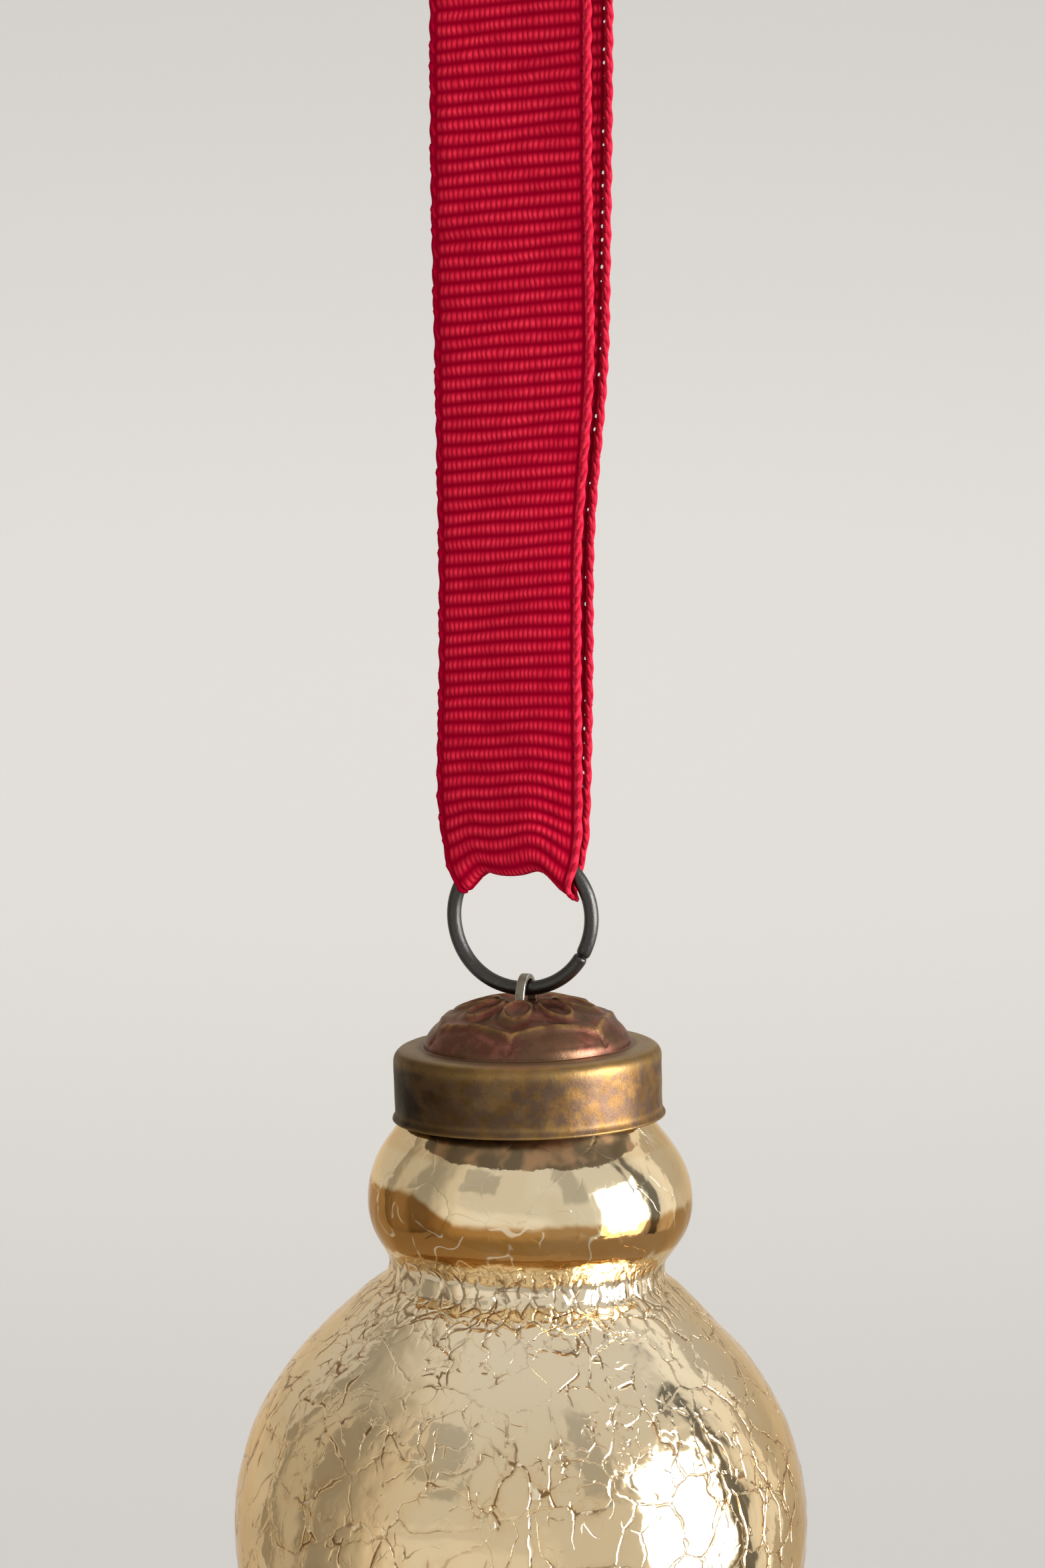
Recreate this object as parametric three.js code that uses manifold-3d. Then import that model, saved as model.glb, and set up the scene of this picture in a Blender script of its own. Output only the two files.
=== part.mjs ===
// A blown glass drop ornament with a pressed brass cap, hung by a jump ring from a ribbon loop.
// Millimetres, +Z up. The origin is the hanging point, at the inside of the ribbon loop's top.
// The ribbon and the jump ring face -Y, and the hanger eye stands across them.
import * as THREE from 'three';
import { mergeVertices } from 'three/addons/utils/BufferGeometryUtils.js';
import Module from 'manifold-3d';

// Clearance left between pieces that rest on or pass through each other
const FIT_GAP = 0.3;

// Ribbon loop
const RIBBON_WIDTH = 15;
const RIBBON_THICKNESS = 0.4;
const LOOP_DROP = 105; // hanging point to the middle of the fold
const LOOP_TOP_GAP = 7.4; // clear gap between the layers at the top bend
const FOLD_WIDTH = 10.5; // the fold is gathered to this width inside the ring
const FOLD_FLARE_HEIGHT = 2.2; // rise over which the gathered fold opens out again
const FOLD_LOBE_DROP = 1.8; // how far the fold's two sides droop below its middle
const FOLD_LOBE_FADE = 5; // rise over which the droop dies away
const FOLD_SLACK = 1.6; // space between the wire and the middle of the fold, as the wire rests on its two sides
const SEAM_LAP = 12; // the ribbon's ends lap by this much
const SEAM_DEPTH = 24; // height of the seam below the hanging point, on the back layer
const SEAM_GAP = 0.15; // between the two lapped ends

// Jump ring
const RING_RADIUS = 6.5; // to the middle of the wire
const WIRE_DIAMETER = 1.3;
const RING_JOINT_GAP = 0.25;
const RING_JOINT_ANGLE = -30; // degrees, from +X towards the top

// Hanger eye, a bent strip
const EYE_STRIP_WIDTH = 0.85;
const EYE_STRIP_THICKNESS = 0.45;
const EYE_SPAN = 3.7; // between the middles of the two legs
const EYE_RISE = 2.65; // from the cap's crown to the top of the eye
const EYE_FOOT_LENGTH = 1.7;
const EYE_BEND_RADIUS = 0.45;

// Brass cap
const CAP_SHEET = 0.45;
const CAP_SKIRT_DIAMETER = 24.3;
const CAP_SKIRT_HEIGHT = 6.5;
const CAP_SHOULDER_FILLET = 1.1;
const CAP_LIP_FLARE = 0.25; // how far the lip stands out from the skirt
const CAP_LIP_HEIGHT = 0.8;
const DOME_DIAMETER = 18.8;
const DOME_RISE = 4.4;
const CROWN_DIAMETER = 4.2; // dished middle of the dome, where the eye stands
const CROWN_DIP = 0.55;
const PETAL_COUNT = 8;
const PETAL_PITCH_RADIUS = 4.5;
const PETAL_LENGTH = 3.8;
const PETAL_WIDTH = 2.5;
const PETAL_RIM_HEIGHT = 0.3;
const PETAL_RIM_WIDTH = 0.3; // as a share of the petal's half size
const LOBE_COUNT = 6;
const LOBE_CUSP_RADIUS = 8.4;
const LOBE_DEPTH = 0.9;
const LOBE_RIDGE_HEIGHT = 0.3;
const LOBE_RIDGE_WIDTH = 0.55;
const ROSETTE_TURN = 8; // degrees, from the front to the middle of a petal and a cusp
const CAP_LEAN = 1.4; // degrees, the cap sits a little askew

// Glass body, heights measured from its widest level
const BODY_DIAMETER = 52.3;
const BODY_SHOULDER_RISE = 24.8; // height of the ellipse that its upper half follows
const WAIST_DIAMETER = 24.9;
const WAIST_HEIGHT = 24;
const BULB_DIAMETER = 29.5;
const BULB_HEIGHT = 30;
const NECK_HEIGHT = 43;
const DROP_LENGTH = 41;
const DROP_TIP_RADIUS = 2.4;
const DROP_TAPER = 7; // length of the drop's slim end
const DROP_FULLNESS = 20; // how far down the round body holds its width
const GLASS_WALL = 1.2;
const GLASS_LEAN = 0.8; // degrees, the other way from the cap

// How the glass's curves run into each other: lengths of handles, and shares of the stretch they shape
const TIP_TURN = 20; // degrees that the drop's end narrows on each side
const SHOULDER_END = 1.11; // the body's ellipse ends at this many waist radii
const SHOULDER_HANDLE = 1.25;
const WAIST_HANDLE = 1;
const WAIST_HOLD = 0.3; // of the rise from waist to bulb
const BULB_HOLD = 0.5; // of the rise from waist to bulb
const BULB_ROUNDNESS = 0.55; // of the rise from bulb to neck
const NECK_FLARE = 0.5;
const NECK_HANDLE = 2;
const NECK_SEAT = 0.75; // the neck runs straight over this share of the skirt's height

// Facets
const GLASS_FACETS = 36;
const CAP_FACETS = 72;
const WIRE_FACETS = 8;
const RING_STEPS = 36;
const EYE_STEPS = 30;
const RIBBON_FACETS = 6;
const DOME_ROWS = 12;
const DOME_LINING_ROWS = 4;
const SKIRT_ROWS = [2, 1, 3]; // lip, wall, shoulder fillet
const GLASS_ROWS = [2, 8, 6, 3, 4, 3, 1]; // tip, drop, body, shoulder, waist, bulb, neck
const GLASS_LINING_ROWS = [1, 4, 3, 2, 3, 2, 1];

const wasm = await Module();
wasm.setup();

const radians = THREE.MathUtils.degToRad;
const smoothstep = THREE.MathUtils.smoothstep;

// Geometry helpers

function weld(geometry) {
  const bare = geometry.clone();
  bare.deleteAttribute('normal');
  bare.deleteAttribute('uv');
  return mergeVertices(bare, 1e-5);
}

function toManifold(geometry) {
  const welded = weld(geometry);
  return new wasm.Manifold(new wasm.Mesh({
    numProp: 3,
    vertProperties: new Float32Array(welded.attributes.position.array),
    triVerts: new Uint32Array(welded.index.array),
  }));
}

function toGeometry(manifold) {
  const mesh = manifold.getMesh();
  const geometry = new THREE.BufferGeometry();
  geometry.setAttribute('position', new THREE.BufferAttribute(mesh.vertProperties, 3));
  geometry.setIndex(new THREE.BufferAttribute(mesh.triVerts, 1));
  geometry.computeVertexNormals();
  return geometry;
}

// Turns a closed (radius, height) outline about Z. The outline runs up the outside and down the inside.
function turned(outline, facets) {
  const geometry = weld(new THREE.LatheGeometry(outline, facets));
  return geometry.rotateX(Math.PI / 2);
}

// Points of a curve with `count` equal steps, its last point left out
function sampled(curve, count) {
  return Array.from({ length: count }, (_, step) => curve.getPoint(step / count));
}

// The same points moved to the left of the direction of travel, which is inwards on an outside wall
function offsetSampled(curve, count, distance) {
  return Array.from({ length: count }, (_, step) => {
    const along = step / count;
    const tangent = curve.getTangent(along);
    const point = curve.getPoint(along);
    return new THREE.Vector2(point.x - tangent.y * distance, point.y + tangent.x * distance);
  });
}

function named(name, geometry, look) {
  const mesh = new THREE.Mesh(geometry, new THREE.MeshStandardMaterial(look));
  mesh.name = name;
  return mesh;
}

// Heights down the chain of pieces, each hanging in the one above it
const ringTop = -LOOP_DROP + RIBBON_THICKNESS / 2 + FOLD_SLACK + WIRE_DIAMETER / 2;
const ringCentre = ringTop - RING_RADIUS;
const eyeInnerTop = ringCentre - RING_RADIUS + WIRE_DIAMETER / 2 + FIT_GAP;
const eyeTop = eyeInnerTop + EYE_STRIP_THICKNESS;
const crownHeight = DOME_RISE - CROWN_DIP; // above the cap's shoulder
const shoulderTop = eyeTop - EYE_RISE - crownHeight;
const leanBetween = radians(CAP_LEAN + GLASS_LEAN);
const skirtInnerRadius = CAP_SKIRT_DIAMETER / 2 - CAP_SHEET;
const neckRadius = skirtInnerRadius - FIT_GAP - CAP_SKIRT_HEIGHT * Math.sin(leanBetween);
const rimClearance = FIT_GAP + neckRadius * Math.sin(leanBetween);

// Ribbon

const bendRadius = WIRE_DIAMETER / 2 + FIT_GAP + RIBBON_THICKNESS / 2;
const topRadius = LOOP_TOP_GAP / 2 + RIBBON_THICKNESS / 2;
const topBendCentre = RIBBON_THICKNESS / 2 - topRadius;
const foldBendCentre = -LOOP_DROP + bendRadius;

function halfTurn(height, radius, start) {
  return new THREE.EllipseCurve(0, height, radius, radius, start, start + Math.PI);
}

const evenly = (share) => share;
const closerAtStart = (share) => share ** 2;
const closerAtEnd = (share) => 1 - (1 - share) ** 2;

// Middle line of the ribbon in the YZ plane, once round from the seam: up the back, over the top,
// down the front, round the fold and up the back again, where its end lies over its start.
function ribbonRoute() {
  const seamShare = (SEAM_DEPTH + topBendCentre) / (topBendCentre - foldBendCentre);
  const backTop = new THREE.Vector2(topRadius, topBendCentre);
  const backFoot = new THREE.Vector2(bendRadius, foldBendCentre);
  const seam = backTop.clone().lerp(backFoot, seamShare);
  const lapEnd = seam.clone().lerp(backTop, SEAM_LAP / seam.distanceTo(backTop));
  const frontTop = new THREE.Vector2(-topRadius, topBendCentre);
  const frontFoot = new THREE.Vector2(-bendRadius, foldBendCentre);
  return [
    { curve: new THREE.LineCurve(seam, backTop), steps: 4 },
    { curve: halfTurn(topBendCentre, topRadius, 0), steps: 8 },
    { curve: new THREE.LineCurve(frontTop, frontFoot), steps: 14, spacing: closerAtEnd },
    { curve: halfTurn(foldBendCentre, bendRadius, Math.PI), steps: 6 },
    { curve: new THREE.LineCurve(backFoot, seam), steps: 12, spacing: closerAtStart },
    { curve: new THREE.LineCurve(seam, lapEnd), steps: 4, lift: RIBBON_THICKNESS + SEAM_GAP, ends: true },
  ];
}

// Stations along the ribbon, closer together near the fold, each with its rise above the fold
function ribbonStations() {
  const stations = [];
  for (const { curve, steps, spacing = evenly, lift = 0, ends = false } of ribbonRoute()) {
    const last = ends ? steps : steps - 1;
    for (let step = 0; step <= last; step += 1) {
      const along = spacing(step / steps);
      const place = curve.getPoint(along);
      const tangent = curve.getTangent(along);
      const outward = new THREE.Vector2(tangent.y, -tangent.x);
      place.addScaledVector(outward, lift);
      stations.push({ place, outward, rise: Math.max(place.y + LOOP_DROP, 0) });
    }
  }
  return stations;
}

function ribbonGeometry() {
  const stations = ribbonStations();
  const rows = stations.length - 1;
  const strip = new THREE.BoxGeometry(1, 1, 1, RIBBON_FACETS, rows, 1);
  const position = strip.attributes.position;
  for (let index = 0; index < position.count; index += 1) {
    const station = stations[Math.round((position.getY(index) + 0.5) * rows)];
    const across = position.getX(index) * 2;
    const through = position.getZ(index) * RIBBON_THICKNESS;
    const gathered = (RIBBON_WIDTH - FOLD_WIDTH) * Math.exp(-station.rise / FOLD_FLARE_HEIGHT);
    const droop = FOLD_LOBE_DROP * Math.abs(across) ** 3 * Math.exp(-station.rise / FOLD_LOBE_FADE);
    const x = -across * (RIBBON_WIDTH - gathered) / 2;
    const y = station.place.x + station.outward.x * through;
    const z = station.place.y + station.outward.y * through - droop;
    position.setXYZ(index, x, y, z);
  }
  return weld(strip);
}

// Jump ring

class RingArc extends THREE.Curve {
  getPoint(along, target = new THREE.Vector3()) {
    const halfGap = RING_JOINT_GAP / 2 / RING_RADIUS;
    const start = radians(RING_JOINT_ANGLE) + halfGap;
    const angle = start + along * (2 * Math.PI - 2 * halfGap);
    return target.set(RING_RADIUS * Math.cos(angle), 0, RING_RADIUS * Math.sin(angle));
  }
}

function ringGeometry() {
  const section = new THREE.Shape();
  const round = new THREE.EllipseCurve(0, 0, WIRE_DIAMETER / 2, WIRE_DIAMETER / 2);
  section.setFromPoints(sampled(round, WIRE_FACETS));
  return weld(new THREE.ExtrudeGeometry(section, { steps: RING_STEPS, extrudePath: new RingArc() }));
}

// Hanger eye, in the cap's frame: the shoulder's top is at height 0

const crownUnderside = crownHeight - CAP_SHEET;
const footMiddle = crownUnderside - FIT_GAP - EYE_STRIP_THICKNESS / 2;
const archTop = crownHeight + EYE_RISE - EYE_STRIP_THICKNESS / 2;

// From one foot's end up its leg to the arch's top, then the same mirrored down to the other foot's end
function eyeRoute() {
  const leg = EYE_SPAN / 2;
  const bow = 0.5523; // handle length of a Bezier quarter circle
  const archRise = archTop - crownHeight;
  const bend = footMiddle + EYE_BEND_RADIUS;
  const halfRoute = [
    [[leg + EYE_FOOT_LENGTH, footMiddle], [leg + EYE_BEND_RADIUS, footMiddle]],
    [[leg + EYE_BEND_RADIUS, footMiddle], [leg, footMiddle], [leg, bend]],
    [[leg, bend], [leg, crownHeight]],
    [[leg, crownHeight], [leg, crownHeight + bow * archRise], [bow * leg, archTop], [0, archTop]],
  ];
  const curveOfPoints = { 2: THREE.LineCurve3, 3: THREE.QuadraticBezierCurve3, 4: THREE.CubicBezierCurve3 };
  const route = new THREE.CurvePath();
  const addLeg = (points, side) => {
    const placed = points.map(([y, z]) => new THREE.Vector3(0, side * y, z));
    route.add(new curveOfPoints[points.length](...placed));
  };
  halfRoute.forEach((points) => addLeg(points, -1));
  halfRoute.toReversed().forEach((points) => addLeg(points.toReversed(), 1));
  return route;
}

function eyeGeometry() {
  const halfWidth = EYE_STRIP_WIDTH / 2;
  const halfThickness = EYE_STRIP_THICKNESS / 2;
  const section = new THREE.Shape([
    new THREE.Vector2(-halfThickness, -halfWidth),
    new THREE.Vector2(halfThickness, -halfWidth),
    new THREE.Vector2(halfThickness, halfWidth),
    new THREE.Vector2(-halfThickness, halfWidth),
  ]);
  return weld(new THREE.ExtrudeGeometry(section, { steps: EYE_STEPS, extrudePath: eyeRoute() }));
}

// Brass cap, in its own frame: the shoulder's top is at height 0

const domeRadius = DOME_DIAMETER / 2;

function domeHeight(radius) {
  const share = Math.min(radius / domeRadius, 1);
  const dish = 1 - smoothstep(radius, CROWN_DIAMETER / 4, CROWN_DIAMETER / 2 + CAP_SHEET);
  return DOME_RISE * Math.sqrt(1 - share ** 2) - CROWN_DIP * dish;
}

// Height of a rounded ridge at a distance from its crest
function ridge(distance, width, height) {
  return height * Math.exp(-((distance / width) ** 2));
}

// Distance round the dome to the middle of the nearest of `count` repeats, as an angle
function nearestRepeat(angle, count) {
  const pitch = 2 * Math.PI / count;
  return angle - pitch * Math.round(angle / pitch);
}

// What the rosette adds to the dome's outside
function rosetteRelief(radius, angle) {
  const turnedAngle = angle + Math.PI / 2 - radians(ROSETTE_TURN);
  const aside = nearestRepeat(turnedAngle, PETAL_COUNT) * radius / (PETAL_WIDTH / 2);
  const along = (radius - PETAL_PITCH_RADIUS) / (PETAL_LENGTH / 2);
  const petalEdge = ridge(Math.hypot(aside, along) - 1, PETAL_RIM_WIDTH, PETAL_RIM_HEIGHT);
  const cuspShare = Math.abs(Math.sin(turnedAngle * LOBE_COUNT / 2));
  const ridgeRadius = LOBE_CUSP_RADIUS - LOBE_DEPTH * cuspShare;
  const lobeEdge = ridge(radius - ridgeRadius, LOBE_RIDGE_WIDTH, LOBE_RIDGE_HEIGHT);
  return petalEdge + lobeEdge;
}

function capOutline() {
  const skirtRadius = CAP_SKIRT_DIAMETER / 2;
  const lipRadius = skirtRadius + CAP_LIP_FLARE;
  const innerFillet = CAP_SHOULDER_FILLET - CAP_SHEET;
  const filletCentre = new THREE.Vector2(skirtRadius - CAP_SHOULDER_FILLET, -CAP_SHOULDER_FILLET);
  const outside = new THREE.Path();
  outside.moveTo(lipRadius, -CAP_SKIRT_HEIGHT);
  const lipTop = -CAP_SKIRT_HEIGHT + CAP_LIP_HEIGHT;
  outside.quadraticCurveTo(skirtRadius, lipTop - CAP_LIP_HEIGHT / 2, skirtRadius, lipTop);
  outside.lineTo(skirtRadius, -CAP_SHOULDER_FILLET);
  outside.absarc(filletCentre.x, filletCentre.y, CAP_SHOULDER_FILLET, 0, Math.PI / 2);
  const outer = outside.curves.flatMap((curve, index) => sampled(curve, SKIRT_ROWS[index]));
  outer.push(new THREE.Vector2(filletCentre.x, 0));
  for (let row = 0; row < DOME_ROWS; row += 1) {
    const radius = domeRadius * Math.sin(Math.PI / 2 * (1 - row / DOME_ROWS));
    outer.push(new THREE.Vector2(radius, domeHeight(radius)));
  }
  outer.push(new THREE.Vector2(0, crownHeight));
  const inner = [new THREE.Vector2(0, crownUnderside)];
  const liningRadius = domeRadius - CAP_SHEET;
  for (let row = 1; row <= DOME_LINING_ROWS; row += 1) {
    const radius = liningRadius * Math.sin(Math.PI / 2 * row / DOME_LINING_ROWS);
    const height = domeHeight(radius * domeRadius / liningRadius) - CAP_SHEET;
    inner.push(new THREE.Vector2(radius, height));
  }
  const innerArc = new THREE.EllipseCurve(
    filletCentre.x, filletCentre.y, innerFillet, innerFillet, Math.PI / 2, 0, true);
  inner.push(...sampled(innerArc, 2));
  inner.push(new THREE.Vector2(skirtInnerRadius, -CAP_SHOULDER_FILLET));
  inner.push(new THREE.Vector2(skirtInnerRadius, lipTop));
  inner.push(new THREE.Vector2(lipRadius - CAP_SHEET, -CAP_SKIRT_HEIGHT));
  return [...outer, ...inner, outer[0].clone()];
}

function capGeometry() {
  const shell = turned(capOutline(), CAP_FACETS);
  const position = shell.attributes.position;
  for (let index = 0; index < position.count; index += 1) {
    const x = position.getX(index);
    const y = position.getY(index);
    const z = position.getZ(index);
    const radius = Math.hypot(x, y);
    const onDome = radius > 0 && radius < domeRadius * 0.99;
    if (onDome && z > domeHeight(radius) - CAP_SHEET / 3) {
      position.setZ(index, z + rosetteRelief(radius, Math.atan2(y, x)));
    }
  }
  let cap = toManifold(shell);
  for (const side of [-1, 1]) {
    const slot = new THREE.BoxGeometry(
      EYE_STRIP_WIDTH + 2 * FIT_GAP, EYE_STRIP_THICKNESS + 2 * FIT_GAP, DOME_RISE);
    slot.translate(0, side * EYE_SPAN / 2, crownHeight);
    cap = cap.subtract(toManifold(slot));
  }
  return toGeometry(cap);
}

// Glass body, in its own frame: the widest level is at height 0

// Outside of the glass from the drop's tip to the neck's rim, one curve for each stretch
function glassStretches() {
  const bodyRadius = BODY_DIAMETER / 2;
  const waistRadius = WAIST_DIAMETER / 2;
  const bulbRadius = BULB_DIAMETER / 2;
  const tipCentre = DROP_TIP_RADIUS - DROP_LENGTH;
  const tipTurn = -radians(TIP_TURN);
  const tipEnd = new THREE.Vector2(Math.cos(tipTurn), Math.sin(tipTurn)).multiplyScalar(DROP_TIP_RADIUS);
  const taper = new THREE.Vector2(-Math.sin(tipTurn), Math.cos(tipTurn));
  taper.multiplyScalar(DROP_TAPER).add(tipEnd);
  const shoulderEnd = Math.acos(waistRadius * SHOULDER_END / bodyRadius);
  const [outwards, upwards] = [Math.cos(shoulderEnd), Math.sin(shoulderEnd)];
  const shoulder = new THREE.Vector2(bodyRadius * outwards, BODY_SHOULDER_RISE * upwards);
  const shoulderLead = new THREE.Vector2(-bodyRadius * upwards, BODY_SHOULDER_RISE * outwards);
  shoulderLead.setLength(SHOULDER_HANDLE).add(shoulder);
  const waist = new THREE.Vector2(waistRadius, WAIST_HEIGHT);
  const bulb = new THREE.Vector2(bulbRadius, BULB_HEIGHT);
  const neckFoot = new THREE.Vector2(neckRadius, NECK_HEIGHT - CAP_SKIRT_HEIGHT * NECK_SEAT);
  const belowBulb = bulb.y - waist.y;
  const aboveBulb = neckFoot.y - bulb.y;
  const path = new THREE.Path();
  path.absarc(0, tipCentre, DROP_TIP_RADIUS, -Math.PI / 2, tipTurn);
  path.bezierCurveTo(taper.x, tipCentre + taper.y, bodyRadius, -DROP_FULLNESS, bodyRadius, 0);
  path.absellipse(0, 0, bodyRadius, BODY_SHOULDER_RISE, 0, shoulderEnd);
  path.bezierCurveTo(shoulderLead.x, shoulderLead.y, waist.x, waist.y - WAIST_HANDLE, waist.x, waist.y);
  path.bezierCurveTo(
    waist.x, waist.y + belowBulb * WAIST_HOLD, bulb.x, bulb.y - belowBulb * BULB_HOLD, bulb.x, bulb.y);
  path.bezierCurveTo(
    bulb.x, bulb.y + aboveBulb * BULB_ROUNDNESS,
    neckFoot.x + NECK_FLARE, neckFoot.y - NECK_HANDLE, neckFoot.x, neckFoot.y);
  path.lineTo(neckRadius, NECK_HEIGHT);
  return path.curves;
}

function glassOutline() {
  const stretches = glassStretches();
  const outer = stretches.flatMap((curve, index) => sampled(curve, GLASS_ROWS[index]));
  const inner = stretches.flatMap(
    (curve, index) => offsetSampled(curve, GLASS_LINING_ROWS[index], GLASS_WALL));
  inner.reverse();
  inner.at(-1).x = 0;
  const rim = [
    new THREE.Vector2(neckRadius, NECK_HEIGHT - GLASS_WALL / 4),
    new THREE.Vector2(neckRadius - GLASS_WALL / 4, NECK_HEIGHT),
    new THREE.Vector2(neckRadius - GLASS_WALL * 3 / 4, NECK_HEIGHT),
    new THREE.Vector2(neckRadius - GLASS_WALL, NECK_HEIGHT - GLASS_WALL / 4),
  ];
  return [...outer, ...rim, ...inner];
}

// The ornament, each piece hung in its place

const ornament = new THREE.Group();

const grosgrain = { color: 0xa80f2e, roughness: 0.75, metalness: 0 };
const darkWire = { color: 0x4a443c, roughness: 0.35, metalness: 1 };
const dullNickel = { color: 0x9a927c, roughness: 0.35, metalness: 1 };
const agedBrass = { color: 0x7a5a2c, roughness: 0.4, metalness: 1 };
const silveredGlass = { color: 0xd9bd82, roughness: 0.1, metalness: 1 };

ornament.add(named('ribbon', ribbonGeometry(), grosgrain));

const jumpRing = named('jump_ring', ringGeometry(), darkWire);
jumpRing.position.z = ringCentre;
ornament.add(jumpRing);

// The cap and its eye lean about the point where the eye rests on the ring
const hung = new THREE.Group();
hung.position.z = eyeInnerTop;
hung.rotation.y = -radians(CAP_LEAN);
ornament.add(hung);

const capFrame = new THREE.Group();
capFrame.position.z = shoulderTop - eyeInnerTop;
hung.add(capFrame);
capFrame.add(named('hanger_eye', eyeGeometry(), dullNickel));
capFrame.add(named('brass_cap', capGeometry(), agedBrass));

// The glass leans about the middle of the cap's shoulder, where its rim is seated
const glass = named('glass_body', turned(glassOutline(), GLASS_FACETS), silveredGlass);
glass.position.z = -CAP_SHEET - rimClearance - NECK_HEIGHT;
const glassFrame = new THREE.Group();
glassFrame.rotation.y = leanBetween;
glassFrame.add(glass);
capFrame.add(glassFrame);

export default ornament;
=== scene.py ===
"""A crackled glass drop ornament with a pressed brass cap, hung by a jump ring from a ribbon loop."""

import math

import bpy
import numpy as np
from bpy.props import FloatProperty, FloatVectorProperty, IntProperty, PointerProperty
from mathutils import Matrix, Vector, noise


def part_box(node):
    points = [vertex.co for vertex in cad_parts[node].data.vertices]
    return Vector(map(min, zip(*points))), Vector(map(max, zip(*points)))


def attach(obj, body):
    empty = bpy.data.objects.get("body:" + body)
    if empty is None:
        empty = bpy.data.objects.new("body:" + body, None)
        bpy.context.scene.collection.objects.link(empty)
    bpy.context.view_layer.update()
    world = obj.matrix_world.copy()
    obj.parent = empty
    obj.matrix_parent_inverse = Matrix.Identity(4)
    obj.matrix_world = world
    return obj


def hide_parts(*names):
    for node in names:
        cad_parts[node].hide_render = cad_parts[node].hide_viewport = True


bl_info = {
    "name": "Glass drop ornament",
    "version": (1, 0, 0),
    "blender": (4, 5, 0),
    "location": "3D View > Sidebar > Ornament",
    "description": "Builds a crackled glass drop with its brass cap, ring, eye and ribbon loop",
    "category": "Add Mesh",
}

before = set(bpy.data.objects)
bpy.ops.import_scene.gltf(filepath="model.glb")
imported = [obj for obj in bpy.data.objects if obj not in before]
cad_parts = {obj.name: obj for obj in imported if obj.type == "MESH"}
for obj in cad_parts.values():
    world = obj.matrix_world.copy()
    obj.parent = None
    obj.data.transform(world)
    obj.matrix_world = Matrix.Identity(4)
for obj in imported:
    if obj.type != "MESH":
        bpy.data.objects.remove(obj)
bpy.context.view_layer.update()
BODY = "root"
MM = 0.001

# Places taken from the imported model, in metres
RING_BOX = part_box("jump_ring")
GLASS_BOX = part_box("glass_body")
RING_CENTRE = (RING_BOX[0] + RING_BOX[1]) / 2


# Node trees

class Term:
    """A number that varies over a surface. Arithmetic on it adds Math nodes to its tree."""

    def __init__(self, graph, socket):
        self.graph = graph
        self.socket = socket

    def _maths(self, operation, *values):
        return self.graph.term("ShaderNodeMath", 0, {"operation": operation}, dict(enumerate(values)))

    def __add__(self, other):
        return self._maths("ADD", self, other)

    def __radd__(self, other):
        return self._maths("ADD", other, self)

    def __sub__(self, other):
        return self._maths("SUBTRACT", self, other)

    def __rsub__(self, other):
        return self._maths("SUBTRACT", other, self)

    def __mul__(self, other):
        return self._maths("MULTIPLY", self, other)

    def __rmul__(self, other):
        return self._maths("MULTIPLY", other, self)

    def __truediv__(self, other):
        return self._maths("DIVIDE", self, other)

    def __pow__(self, other):
        return self._maths("POWER", self, other)

    def __abs__(self):
        return self._maths("ABSOLUTE", self)

    def sine(self):
        return self._maths("SINE", self)

    def fraction(self):
        return self._maths("FRACT", self)

    def whole(self):
        return self._maths("FLOOR", self)

    def cosine(self):
        return self._maths("COSINE", self)

    def arcsine(self):
        return self._maths("ARCSINE", self)

    def angle_to(self, other):
        """Angle of the point that has this height and the other as its width."""
        return self._maths("ARCTAN2", self, other)

    def within(self, low, high, soft):
        """1 between the two numbers and 0 outside, with soft ends."""
        return self.fades(low - soft, low + soft) * (1 - self.fades(high - soft, high + soft))

    def at_least(self, other):
        return self._maths("MAXIMUM", self, other)

    def at_most(self, other):
        return self._maths("MINIMUM", self, other)

    def fades(self, start, end):
        """From 0 at start to 1 at end, smoothly, whichever of them is larger."""
        settings = {"interpolation_type": "SMOOTHSTEP"}
        inputs = {"Value": self, "From Min": start, "From Max": end}
        return self.graph.term("ShaderNodeMapRange", 0, settings, inputs)


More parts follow.
